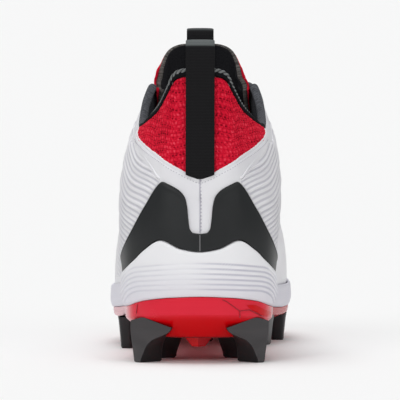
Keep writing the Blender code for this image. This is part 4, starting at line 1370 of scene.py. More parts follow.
@dataclass
class HeelCounter(Part):
    """The smooth black wrap round the heel."""

    thick: float = 0.00125
    seam_depth: float = 0.00050

    def relief(self, around: Array, up: Array, share: Array) -> tuple[Array, Array]:
        """Full, with a seam at the middle and a soft lip along the top.

        Args:
            around: Places round the shoe.
            up: How far up the wall.
            share: Shares of the patch's rows.

        Returns:
            The height of the face and its mark.
        """
        along = np.abs(self.last.measure(around, self.last.wall(around, up))[..., 0])
        lip = 0.00022 * bell(share, 0.93, 0.035)
        # The mark falls to 0 along the top and bottom edges, where the black skin's finish paints shade.
        mark = soft_step(0.0, 0.035, share) * (1.0 - soft_step(0.965, 1.0, share))
        return self.thick - self.seam_depth * bell(along, 0.0, 0.55) + lip, mark

    def build(self) -> None:
        """Makes the wrap and the thread in its seam."""
        last = self.last
        place = np.concatenate([np.linspace(0.0, 0.028, 52)[:-1], np.linspace(0.028, 0.090, 60)[:-1],
                                np.linspace(0.090, 0.400, 120)])
        around = both(place)
        low = last.up_at(around, last.lip(around) + 0.0003)
        high = last.up_on(COUNTER_LINE, around)
        self.patch("heel_counter_wrap", Cloth.BLACK, around, low, high, self.relief, 0.0, 52,
                   ["heel_counter"], "black_skin", edge=0.035, ends=0.004)
        back = np.zeros(30)
        up = last.up_at(back, np.linspace(0.0606, 0.0696, 30))
        spots = last.skin(back, up, self.thick - self.seam_depth)
        self.seam("counter_seam", Cloth.COUNTER_SEAM, spots, last.normal(back, up), 0.0008, 0.0005)


@dataclass
class KnitCuff(Part):
    """The chunky red knit at the back of the ankle."""

    cell_wide: float = 2.7
    cell_tall: float = 2.3
    thick: float = 0.00060
    lump: float = 0.00075

    def stand(self, along: Array, height: Array) -> Array:
        """How high the yarn stands: soft lumps in slanted rows, with some deep gaps between them.

        Args:
            along: Millimetres round the shoe.
            height: Millimetres up it.

        Returns:
            Shares of the full height.
        """
        slant = along + 0.35 * height + 0.60 * np.sin(height / 3.1)
        slant = slant + 0.50 * np.sin(along / 4.3 + height / 7.0)
        height = height + 0.60 * np.sin(along / 3.3 + 0.8) + 0.50 * np.sin(along / 7.1 - height / 9.0)
        row = np.floor(height / self.cell_tall)
        across = slant / self.cell_wide + 0.5 * np.mod(row, 2.0) + 0.22 * np.sin(row * 2.4)
        cell = np.floor(across)
        u = 2 * (across - cell) - 1
        v = 2 * (height / self.cell_tall - row) - 1
        tilt = 0.35 * np.sin(cell * 1.9 + row * 1.3)
        lump = (1 - np.abs(np.clip(u + tilt * v, -1.0, 1.0)) ** 3.0) * (1 - np.abs(v) ** 3.0)
        pick = 0.5 + 0.5 * np.sin(cell * 12.9898 + row * 78.233)
        deep = np.clip(pick * 2.2 - 0.9, 0.0, 1.0) * np.exp(-((u - 0.2) ** 2 * 3.0 + v**2 * 4.5))
        return np.clip(0.30 + 0.62 * lump * (0.65 + 0.35 * pick) - 1.0 * deep, 0.0, 1.0)

    def relief(self, around: Array, up: Array, share: Array) -> tuple[Array, Array]:
        """Lumps of yarn over a flat ground.

        Args:
            around: Places round the shoe.
            up: How far up the wall.
            share: Shares of the patch's rows.

        Returns:
            The height of the face and its mark.
        """
        spot = self.last.measure(around, self.last.wall(around, up))
        stand = self.stand(spot[..., 0], spot[..., 1])
        # The yarn's height is also the mark, which the knit's finish paints as light and shade.
        return self.thick + self.lump * stand, stand

    def build(self) -> None:
        """Makes the knit."""
        last = self.last
        around = both(np.linspace(0.0, CUFF_FRONT, 215))
        low = np.minimum(last.up_on(CUFF_LINE, around, -0.0008), 0.985)
        self.patch("knit_cuff_cloth", Cloth.KNIT, around, low, np.full(len(around), 1.0), self.relief,
                   0.0002, 128, ["knit_cuff"], "red_knit", edge=0.03, ends=0.005)


@dataclass
class Piping(Part):
    """The raised line on each side."""

    rise: float = 0.0011

    def relief(self, around: Array, up: Array, share: Array) -> tuple[Array, Array]:
        """A round cord."""
        return self.rise * np.sqrt(np.clip(1 - (2 * share - 1) ** 2, 0.0, 1.0)) + 0.0001, share

    def build(self) -> None:
        """Makes both lines."""
        place = np.linspace(0.0765, 0.2000, 120)
        for name, sign in (("piping_inner", 1.0), ("piping_outer", -1.0)):
            around = np.mod(sign * place, 2.0)
            low = self.last.up_on(PIPING_LINE, around, -PIPING_WIDE / 2)
            high = self.last.up_on(PIPING_LINE, around, PIPING_WIDE / 2)
            self.patch(name + "_cord", Cloth.WHITE, around, low, high, self.relief, 0.0, 8, [name],
                       "white_skin", edge=0.12)


@dataclass
class Collar(Part):
    """The black binding on the collar's edge."""

    wide: float = BINDING_WIDE
    tall: float = BINDING_TALL
    reach: float = 0.40625
    pads: float = 0.262
    rope_wide: float = 0.0031
    rope_up: float = 0.0012
    rope_out: float = 0.0009
    twist: float = 0.0085

    def build(self) -> None:
        """Makes the binding and the rope along its back."""
        last = self.last
        around = both(np.linspace(0.0, self.reach, 230))
        edge = last.wall(around, 1.0)
        out = last.normal(around, 1.0)
        rising = unit(edge - last.wall(around, 0.985))
        centre = edge - out * UPPER_WALL / 2 + rising * (CLEAR + self.tall / 2)
        angle = turns(24)
        c, s = np.cos(angle), np.sin(angle)
        size = (np.abs(c) ** 2.5 + np.abs(s) ** 2.5) ** (-1 / 2.5)
        near = np.minimum(np.arange(len(around)), np.arange(len(around))[::-1]) / 5.0
        taper = np.sqrt(1 - (1 - np.clip(near, 0.0, 1.0)) ** 2)[:, None, None]
        ring = (centre[:, None] + (out[:, None] * (c * size * self.wide / 2)[None, :, None]
                + rising[:, None] * (s * size * self.tall / 2)[None, :, None]) * taper)
        measures = last.measure(around[:, None], ring, 0.0)
        measures[..., 1] += (angle / (2 * math.pi) * 8.0)[None, :]
        shell = Shell()
        grid = shell.add(ring, measures)
        back = last.side(around) < self.pads
        for k in range(len(around) - 1):
            shell.join(grid[k], grid[k + 1], slot=0 if back[k] else 1, closed=True)
        self.place(shell, "collar_binding_roll", [Cloth.BINDING, Cloth.COLLAR], ["collar_binding"],
                   "black_webbing")
        self.rope(centre[back] + rising[back] * self.rope_up + out[back] * self.rope_out, out[back])

    def rope(self, path: Array, out: Array) -> None:
        """Makes the twisted cord along the back of the binding, thinner towards its ends.

        Args:
            path: Its middle line.
            out: The outward direction there.
        """
        fine = between(path, 4)
        run = unit(np.gradient(fine, axis=0))
        side = unit(np.cross(run, between(out, 4)))
        face = np.cross(side, run)
        length = lengths(fine)
        angle = turns(15)
        lobe = np.abs(np.cos(1.5 * (angle[None, :] - 2 * math.pi * length[:, None] / self.twist)))
        middle = np.abs(length / length[-1] - 0.5) * 2
        size = self.rope_wide / 2 * (1.0 - 0.55 * soft_step(0.45, 0.8, middle)) * np.sqrt(1 - middle**16)
        radius = size[:, None] * (0.74 + 0.26 * lobe)
        shell = Shell()
        # Painted highlight on the crests of the lobes, weaker towards the ends.
        marks = lobe * (1.0 - 0.75 * soft_step(0.45, 0.8, middle))[:, None]
        measures = stacked(length[:, None] / MM, angle[None, :] * 2.0, marks)
        ring = fine[:, None] + spokes(side, face, angle) * radius[..., None]
        shell.quads(shell.add(ring, measures), closed=True)
        self.place(shell, "collar_rope", [Cloth.ROPE])


@dataclass
class HeelLoop(Part):
    """The webbing up the back of the ankle, with its pointed lower end."""

    wide: float = HEEL_WEBBING_WIDE
    thick: float = WEBBING_THICK
    foot: float = 0.0988
    point: float = 0.0026
    tuck: float = 0.0012
    # Heights over which the painted highlight along the top of the bend comes in.
    lit: tuple[float, float] = (0.1700, 0.1712)

    def path(self) -> Array:
        """The middle line: up outside, over, and down inside."""
        last = self.last
        low = float(last.up_at(np.array(0.0), np.array(self.foot)))
        ups = low + (1.0 - low) * np.arange(8) / 7
        outer = last.skin(np.zeros(8), ups, 3 * CLEAR + SKIN + self.thick / 2)
        rising = unit(last.wall(0.0, 1.0) - last.wall(0.0, 0.97)) * (BINDING_TALL + 2 * CLEAR)
        outer = np.concatenate([outer, outer[-1:] + rising])
        curve = (last.wall(HEEL_LOOP_HALF, 1.0) - last.wall(0.0, 1.0))[1]
        lift = -((UPPER_WALL + BINDING_WIDE + self.thick) / 2 + curve + CLEAR)
        inner = last.skin(np.zeros(3), np.array([1.0, 0.93, 0.86]), lift)
        inner = np.concatenate([inner[:1] + rising, inner])
        path = over_bend(outer, inner, HEEL_LOOP_TOP - self.thick / 2, 8)
        path[:, 0] = 0.0
        fine = between(path, 10)
        front = np.arange(len(fine)) < len(fine) // 2
        fine[:, 1] += self.tuck * front * (1.0 - soft_step(self.foot, self.foot + 0.0060, fine[:, 2]))
        return fine

    def build(self) -> None:
        """Makes the webbing."""
        path = self.path()
        run = unit(np.gradient(path, axis=0))
        face = np.stack([0.0 * run[:, 0], -run[:, 2], run[:, 1]], axis=-1)
        # Painted highlight along the top of the bend.
        mark = soft_step(*self.lit, path[:, 2])
        first = np.arange(len(path)) < len(path) // 2
        pointed = np.clip((path[:, 2] - self.foot) / self.point, 0.04, 1.0)
        self.strap("heel_webbing", Cloth.WEBBING, path, face, self.wide, self.thick, ["heel_pull_loop"],
                   "black_webbing", mark, np.where(first, pointed, 1.0))


def over_bend(outer: Array, inner: Array, top: float, steps: int) -> Array:
    """Joins two legs by a round bend that reaches a height.

    Args:
        outer: The first leg.
        inner: The second leg.
        top: The height.
        steps: The bend's steps.

    Returns:
        The whole line.
    """
    start, end = outer[-1], inner[0]
    base = max(start[2], end[2])
    angle = math.pi * np.arange(1, steps) / steps
    along = np.sign(np.cos(angle)) * np.abs(np.cos(angle)) ** LOOP_FULLNESS
    bend = np.stack([
        0.0 * angle + start[0],
        (start[1] + end[1]) / 2 + (start[1] - end[1]) / 2 * along,
        base + (top - base) * np.sin(angle) ** LOOP_FULLNESS,
    ], axis=-1)
    return np.concatenate([outer, bend, inner])


@dataclass
class Tongue(Part):
    """The knit tongue with its dark lining, rolled rim and webbing loop."""

    thick: float = TONGUE_THICK
    flank: tuple[float, ...] = (0.76, 0.88, 1.0)
    shoulder: tuple[float, ...] = (0.425, 0.440, 0.455)
    stations: tuple[int, ...] = (32, 31, 30, 29, 28, 26, 24, 22, 20, 18, 17, 16, 15)
    middle: int = 5
    free: int = 4
    bow: float = 0.0012
    spread: float = 0.0010
    rim_wide: float = 0.0009
    rim_deep: float = 0.72
    sliver: tuple[float, float] = (0.0024, 0.0015)

    def grid(self, sink: float) -> Array:
        """Rows from the front end under the vamp to the free top, sunk by a depth.

        Args:
            sink: The depth.

        Returns:
            The rows of points.
        """
        last = self.last
        lift = -(UPPER_WALL + 3 * CLEAR) - sink
        flank = np.array(self.flank)
        rows = []
        share = (np.arange(1, self.middle) / self.middle)[:, None]
        for station in self.stations:
            place = station / 32
            left = last.skin(np.full(3, 2.0 - place), flank, lift)
            right = last.skin(np.full(3, place), flank[::-1], lift)
            start, end = left[-1], right[0]
            across = start * (1 - share) + end * share
            across[:, 2] += TONGUE_CROWN * np.linalg.norm(end - start) * 4 * (share * (1 - share))[:, 0]
            rows.append(np.concatenate([left, across, right]))
        tuck = lift - (BINDING_WIDE - UPPER_WALL) / 2 - 3 * CLEAR + self.spread
        places = np.array(self.shoulder)
        left = last.skin(2.0 - places, np.full(3, 0.97), tuck)
        right = last.skin(places[::-1], np.full(3, 0.97), tuck)
        middle = rows[-1][3:-3] + np.array([0.0, -0.0012, 0.0040])
        low = np.concatenate([left, middle, right])
        share = 2 * np.arange(len(low)) / (len(low) - 1) - 1
        row = np.abs(share)
        crest = np.stack([
            TONGUE_SHIFT + np.sign(share) * (CREST.at("half", row) * BALL_WIDTH - sink * row),
            CREST.at("along", row) * LENGTH - sink * (1 - 0.6 * row),
            CREST.at("height", row) * TONGUE_TOP,
        ], axis=-1)
        for k in range(self.free + 1):
            rise = k / self.free
            line = low + (crest - low) * rise
            line[:, 0] += self.bow * 4 * rise * (1 - rise) * np.sign(share) * share**2
            rows.append(line)
        return np.stack(rows)

    def rim(self, shell: Shell, outer: Array, inner: Array, top: Array, bottom: Array,
            places: Array) -> None:
        """Rolls the edge over, up one side, across the top and down the other. Knit shows past its sides.

        Args:
            shell: Takes the roll.
            outer: The tongue's outer face.
            inner: Its inner face.
            top: The numbers of the outer face's points.
            bottom: The numbers of the inner face's points.
            places: What the cloth reads at each point.
        """
        rows, columns = outer.shape[:2]
        left = [(row, 0) for row in range(rows - 1)]
        crest = [(rows - 1, column) for column in range(columns)]
        right = [(row, columns - 1) for row in range(rows - 2, -1, -1)]
        at = tuple(np.array(left + crest + right).T)
        front, back, spots = outer[at], inner[at], places[at]
        away = unit(np.cross(np.gradient(front, axis=0), back - front))
        middle = np.array([TONGUE_SHIFT, 0.0, 0.140])
        facing = np.sum(away * (front - middle) * np.array([1.0, 0.0, 1.0]), axis=-1)
        away *= np.where(facing < 0.0, -1.0, 1.0)[:, None]
        for _ in range(12):
            away[1:-1] = unit(away[:-2] + 2 * away[1:-1] + away[2:])
        height = front[:, 2]
        side = np.where(front[:, 0] < TONGUE_SHIFT, self.sliver[0], self.sliver[1])
        shown = side * soft_step(0.1600, 0.1540, height) * soft_step(0.1380, 0.1440, height)
        steps = [(0.0, shown, 0), (0.10, shown * 0.95, 0), (0.14, 0.2 * shown, 0)]
        for turn in np.linspace(0.25, math.pi, 9):
            deep = 0.14 + (self.rim_deep - 0.14) * (1 - math.cos(turn)) / 2
            steps.append((deep, self.rim_wide * math.sin(turn), 1))
        last_row = top[at]
        for deep, reach, kind in steps:
            spot = front * (1 - deep) + back * deep + away * (np.zeros(len(front)) + reach)[:, None]
            mark = np.full((len(spots), 1), 0.5 * (kind == 0))
            row = shell.add(spot, np.concatenate([spots, mark], axis=-1))
            shell.join(last_row, row, slot=kind)
            last_row = row
        shell.join(last_row, bottom[at], slot=2)

    def fine(self, sink: float, along: int, across: int) -> Array:
        """The grid, finer and smooth both ways."""
        tall = between(self.grid(sink), along)
        return np.moveaxis(between(np.moveaxis(tall, 1, 0), across), 0, 1)

    def build(self) -> None:
        """Makes the tongue, its rim and its loop."""
        knit = KnitCuff(self.last)
        outer = self.fine(0.0, 12, 10)
        inner = self.fine(self.thick, 12, 10)
        down = np.cumsum(np.linalg.norm(np.diff(outer, axis=0, prepend=outer[:1]), axis=-1), axis=0) / MM
        over = np.cumsum(np.linalg.norm(np.diff(outer, axis=1, prepend=outer[:, :1]), axis=-1), axis=1) / MM
        down = np.broadcast_to(down[:, down.shape[1] // 2][:, None], down.shape)
        over = over - over[:, over.shape[1] // 2][:, None]
        # The yarn's height, for the relief and as the mark that the knit's finish paints as light and shade.
        stand = knit.stand(over, down)
        away = unit(outer - inner)
        rows, columns = outer.shape[:2]
        edge_near = np.minimum(np.arange(rows)[::-1][:, None] / 6.0,
                               np.minimum(np.arange(columns), np.arange(columns)[::-1])[None, :] / 4.0)
        full = np.clip(edge_near, 0.0, 1.0)[..., None]
        face = outer + away * (stand * knit.lump)[..., None] * full
        shell = Shell()
        top = shell.add(face, np.stack([over, down, stand], axis=-1))
        bottom = shell.add(inner, np.stack([over, down, 0 * down], axis=-1))
        shell.quads(top)
        shell.quads(bottom, slot=2)
        self.rim(shell, outer, inner, top, bottom, np.stack([over, down], axis=-1))
        self.place(shell, "tongue_cloth", [Cloth.KNIT, Cloth.RIM, Cloth.SHADED_LINING], ["tongue"], "red_knit")
        room = np.array([0.0, 2 * CLEAR + WEBBING_THICK / 2, 0.0])
        front = self.grid(0.0)[-4:, 5] + room
        back = self.grid(self.thick)[-4:, 5][::-1] - room
        path = over_bend(front, back, TONGUE_LOOP_TOP - WEBBING_THICK / 2, 6)
        path[:, 0] = TONGUE_SHIFT
        path = between(path, 6)
        run = unit(np.gradient(path, axis=0))
        facing = np.stack([0.0 * run[:, 0], run[:, 2], -run[:, 1]], axis=-1)
        # Painted highlight along the top of the loop's bend.
        mark = 0.6 * soft_step(TONGUE_LOOP_TOP - 0.0020, TONGUE_LOOP_TOP - 0.0010, path[:, 2])
        self.strap("tongue_webbing", Cloth.WEBBING, path, facing, TONGUE_WEBBING_WIDE, WEBBING_THICK,
                   ["tongue_pull_loop"], "black_webbing", mark)


@dataclass
class Midsole(Part):
    """The white foam with its fine grooves."""

    columns: int = 420
    rows: int = 116
    grooves: int = 6
    first: float = 0.010
    step: float = 0.164
    top_groove: float = 0.0541
    gap: float = 0.0028
    drop: float = 0.0036
    reach: float = 0.040
    depth: float = 0.00060
    wide: float = 0.00062

    def build(self) -> None:
        """Makes the wall, its rolled lip and a narrow ledge along its foot."""
        last = self.last
        around = np.linspace(0.0, 2.0, self.columns, endpoint=False)[None, :]
        place = last.side(around)
        share = np.linspace(0.0, 1.0, self.rows)[:, None]
        rim = last.level(around, "rim") + CLEAR
        low = rim + RIB_FOOT
        lip = last.lip(around)
        high = lip - LIP_ROLL
        fade = np.clip(1.0 - place / 0.5, 0.0, 1.0)
        along = last.measure(around, np.zeros(around.shape + (3,)))[..., 0]
        side = 1.0 - 0.70 * bell(along, -10.0, 16.0) - 0.35 * soft_step(-10.0, -40.0, along)
        rise = low + (high - low) * share
        across = last.outline(around)[..., 0] / self.reach
        blend = soft_step(0.10, 0.20, place)
        groove = np.zeros(rise.shape)
        for k in range(self.grooves):
            arc = self.top_groove - k * self.gap - self.drop * (1.0 - 0.1 * k) * across**2
            own = low + (high - low) * (self.first + self.step * (self.grooves - 1 - k))
            groove = groove + bell(rise, arc * (1 - blend) + own * blend, self.wide)
        ends = soft_step(0.0, 0.05, share) * (1.0 - soft_step(0.90, 1.0, share))
        groove = np.clip(groove, 0.0, 1.0) * ends * side * np.sqrt(fade)
        start = last.rim_inset(around) - MIDSOLE_OVERHANG
        swell = np.clip(1.0 - share / MIDSOLE_SWELL, 0.0, 1.0) ** 2
        inset = start * swell + LIP_SETBACK * 0.6 * share + self.depth * groove
        wall = last.edge(around + 0.0 * share, inset, low + (high - low) * share)
        foot = last.edge(around, last.rim_inset(around) - CLEAR, rim)
        turn = np.linspace(0.0, math.pi, 13)[1:, None]
        half = LIP_WALL / 2 + 0.0002
        roll = last.edge(around + 0.0 * turn, LIP_SETBACK * 0.6 + half - half * np.cos(turn),
                         high + LIP_ROLL * np.sin(turn) + 0.0 * around)
        under = last.edge(around, last.rim_inset(around) + PLATE_RIM, rim)
        shell = Shell()
        rows = np.concatenate([under, foot, wall, roll])
        measures = last.measure(around, rows)
        # The grooves' mark, which the foam's finish paints as shade.
        measures[2 : 2 + self.rows, :, 2] = groove
        grid = shell.add(rows, measures)
        shell.quads(grid, closed=True)
        self.place(shell, "midsole_foam", [Cloth.FOAM], ["midsole"], "white_foam")


@dataclass
class Plate(Part):
    """The red plate: a glossy bowl under the midsole."""

    columns: int = 360
    finer: int = 9
    marks: tuple[tuple[tuple[float, float], ...], ...] = (
        ((0.0120, 0.0345), (0.0145, 0.0333), (0.0212, 0.0282), (0.0213, 0.0245)),
        ((0.0212, 0.0282), (0.0263, 0.0286), (0.0330, 0.0250)),
        ((-0.0330, 0.0310), (-0.0335, 0.0262)),
    )
    # The facet's mark gives it the plate's deep red tone, the one used as painted shade below the crease.
    facet_mark: float = 2.5
    facet: tuple[tuple[tuple[float, float], ...], ...] = (
        ((0.0262, 0.0296), (0.0330, 0.0252), (0.0374, 0.0243)),
        ((0.0255, 0.0305), (0.0312, 0.0282), (0.0377, 0.0252)),
        ((0.0250, 0.0313), (0.0294, 0.0312), (0.0380, 0.0262)),
    )

    def build(self) -> None:
        """Makes the bowl's side, its rim and its belly."""
        last = self.last
        around = np.linspace(0.0, 2.0, self.columns, endpoint=False)
        rim_in = last.rim_inset(around)
        belly, crease, rim = (last.level(around, name) for name in ("belly", "crease", "rim"))
        belly_in = last.belly_inset(around)
        bowl_in = (belly_in + rim_in + CREASE_DEPTH) / 2
        rows = np.stack([
            last.edge(around, belly_in + 0.0040, belly),
            last.edge(around, belly_in, belly + 0.0002),
            last.edge(around, bowl_in, belly + BOWL_SHARE * (crease - belly)),
            last.edge(around, rim_in + CREASE_DEPTH / 2, crease),
            last.edge(around, rim_in + 0.0002, crease + 2 * CREASE_BAND),
            last.edge(around, rim_in, crease * 0.4 + rim * 0.6),
            last.edge(around, rim_in, rim),
        ])
        fine = between(rows, self.finer)
        inner = last.edge(around, rim_in + PLATE_RIM, rim)[None]
        shell = Shell()
        points = np.concatenate([fine, inner])
        # The rows' marks pick the plate's painted light and shade: near-black along the belly, deep red up to
        # the crease, lit above it.
        marks = np.linspace(0.0, 6.0, len(fine))
        measures = last.measure(around[None, :], points)
        measures[..., 2] = np.concatenate([marks, marks[-1:]])[:, None]
        grid = shell.add(points, measures)
        shell.quads(grid, closed=True)
        shell.ladder(grid[0], points[0], 30)
        self.place(shell, "plate_bowl", [Cloth.PLATE], ["outsole_plate"], "red_plate")
        self.lines()

    def spots(self, places: Array, lift: float = 0.0002) -> tuple[Array, Array]:
        """Points on the plate's side behind the heel, and where it faces there.

        Args:
            places: How far across the shoe and how high each one is.
            lift: How far off the plate they lie.

        Returns:
            The points and the outward directions.
        """
        around = np.linspace(0.0, 0.20, 200)
        across = self.last.edge(around, self.last.rim_inset(around), 0.0)[:, 0]
        near = np.interp(np.abs(places[:, 0]), across, around) * np.sign(places[:, 0])
        out = np.concatenate([self.last.outward(near), np.zeros((len(near), 1))], axis=-1)
        return self.last.edge(near, self.last.rim_inset(near) - lift, places[:, 1]), out

    def lines(self) -> None:
        """Makes the fine moulded lines, dark strips of painted shade, and the patch by the inner side of the
        heel.
        """
        for k, line in enumerate(self.marks):
            ends = np.array(line)
            share = np.linspace(0.0, len(line) - 1.0, 12 * len(line))
            path = read_chain(share, np.arange(len(line)), ends)
            points, out = self.spots(path)
            self.seam(f"plate_line_{k + 1}", Cloth.PLATE_LINE, points, out, 0.00045, 0.0003)
        share = np.linspace(0.0, 1.0, 24)
        rows = []
        for edge in self.facet:
            path = read_chain(share * 2, np.arange(3), np.array(edge))
            rows.append(self.spots(path, 0.00025)[0])
        shell = Shell()
        grid = between(np.stack(rows), 6)
        shell.quads(shell.add(grid, np.zeros(grid.shape) + np.array([0.0, 0.0, self.facet_mark])))
        self.place(shell, "plate_facet", [Cloth.PLATE])


class Stud(NamedTuple):
    """A stud: where its tip stands, and how it grows from there.

    x is a share of the ball width and y of the length. long, wide and lean are shares of the stud sizes, and
    turn is in degrees. flare is the growth at the root, foot is a share of the stud height and root of the
    plate's height.
    """

    name: str
    x: float
    y: float
    long: float
    wide: float
    turn: float
    flare: float
    foot: float
    root: float
    lean: float


@dataclass
class Studs(Part):
    """The moulded studs."""

    studs: tuple[Stud, ...] = (
        Stud("heel_stud_front_inner", 0.215, 0.180, 1.62, 1.11, -20.0, 1.26, 0.0, 0.185, -0.5),
        Stud("heel_stud_front_outer", -0.235, 0.180, 1.62, 1.11, 20.0, 1.26, 0.0, 0.185, 0.5),
        Stud("forefoot_stud_outer_1", -0.418, 0.462, 1.00, 0.97, 84.0, 1.40, 0.0, 0.162, 0.0),
        Stud("forefoot_stud_outer_2", -0.435, 0.592, 1.00, 1.00, 94.0, 1.40, 0.0, 0.162, 0.0),
        Stud("forefoot_stud_outer_3", -0.402, 0.722, 1.00, 1.00, 104.0, 1.40, 0.0, 0.162, 0.0),
        Stud("forefoot_stud_outer_4", -0.272, 0.850, 0.96, 0.97, 122.0, 1.40, 0.0, 0.162, 0.0),
        Stud("forefoot_stud_inner_1", 0.322, 0.560, 1.00, 1.00, 76.0, 1.40, 0.0, 0.162, 0.0),
        Stud("forefoot_stud_inner_2", 0.396, 0.712, 1.00, 1.09, 90.0, 1.40, 0.0, 0.162, 0.0),
        Stud("forefoot_stud_inner_3", 0.340, 0.838, 0.96, 0.97, 68.0, 1.40, 0.0, 0.162, 0.0),
        Stud("forefoot_stud_middle", -0.020, 0.655, 0.92, 1.00, 0.0, 1.40, 0.0, 0.162, 0.0),
        Stud("toe_stud", 0.050, 0.920, 0.92, 0.97, 0.0, 1.36, 0.0, 0.162, 0.0),
    )
    grown: Table = field(default_factory=lambda: Table(
        "size flare lean",
        (0.00, 0.88, 0.00, 0.00), (0.07, 1.00, 0.00, 0.00), (0.50, 1.00, 0.36, 0.40),
        (0.80, 1.00, 0.70, 0.75), (1.00, 1.00, 1.00, 1.00),
    ))
    corners: int = 72
    rows: int = 34
    square: float = 4.0
    # The studs' mark: low, so they take mostly the deep tone of painted shade.
    shown: float = 0.30

    def belly(self, along: float) -> float:
        """The height of the plate's belly at a share of the length.

        Args:
            along: The share.

        Returns:
            The height.
        """
        around = np.linspace(0.0, 1.0, 400)
        near = around[np.argmin(np.abs(self.last.outline(around)[:, 1] - along * LENGTH))]
        return float(self.last.level(np.array(near), "belly"))

    def form(self, stud: Stud) -> Array:
        """The stud's rings from its tip up to its root inside the plate.

        Args:
            stud: The stud.

        Returns:
            The rings.
        """
        belly = self.belly(stud.y)
        low = max(stud.foot * STUD_HEIGHT, belly - 1.1 * STUD_HEIGHT)
        high = belly + stud.root * PLATE_HEIGHT
        share = np.concatenate([[0.0, 0.012, 0.03], np.linspace(0.06, 1.0, self.rows)])[:, None]
        size = self.grown.at("size", share) + (stud.flare - 1.0) * self.grown.at("flare", share)
        lean = stud.lean * STUD_LEAN * self.grown.at("lean", share)
        angle = np.linspace(0.0, 2 * math.pi, self.corners, endpoint=False)
        c, s = np.cos(angle), np.sin(angle)
        full = (np.abs(c) ** self.square + np.abs(s) ** self.square) ** (-1 / self.square)
        wide = stud.wide * STUD_WIDE
        one, two = stud.long * STUD_LONG / 2 * c * full * size, wide / 2 * s * full * size
        turn = math.radians(stud.turn)
        x = one * math.cos(turn) - two * math.sin(turn)
        y = one * math.sin(turn) + two * math.cos(turn)
        inner = np.clip(0.5 + np.abs(x) / wide * np.sign(x * stud.lean), 0.0, 1.0)
        back = np.abs(lean) / STUD_LEAN * STUD_LEAN_BACK * inner
        return np.stack([
            stud.x * BALL_WIDTH + x + lean * inner,
            stud.y * LENGTH + y - back,
            low + share * (high - low) + 0.0 * x,
        ], axis=-1)

    def build(self) -> None:
        """Makes every stud."""
        for stud in self.studs:
            rings = self.form(stud)
            shell = Shell()
            measures = stacked(rings[..., 0] / MM, rings[..., 2] / MM, self.shown)
            grid = shell.add(rings, measures)
            shell.quads(grid, closed=True)
            middle = np.broadcast_to(rings[0].mean(axis=0), rings[0].shape)
            cap = shell.add(np.stack([rings[0] * 0.5 + middle * 0.5, middle]))
            shell.join(grid[0], cap[0], closed=True)
            shell.quads(cap, closed=True)
            self.place(shell, stud.name + "_form", [Cloth.STUD], [stud.name], "dark_stud")


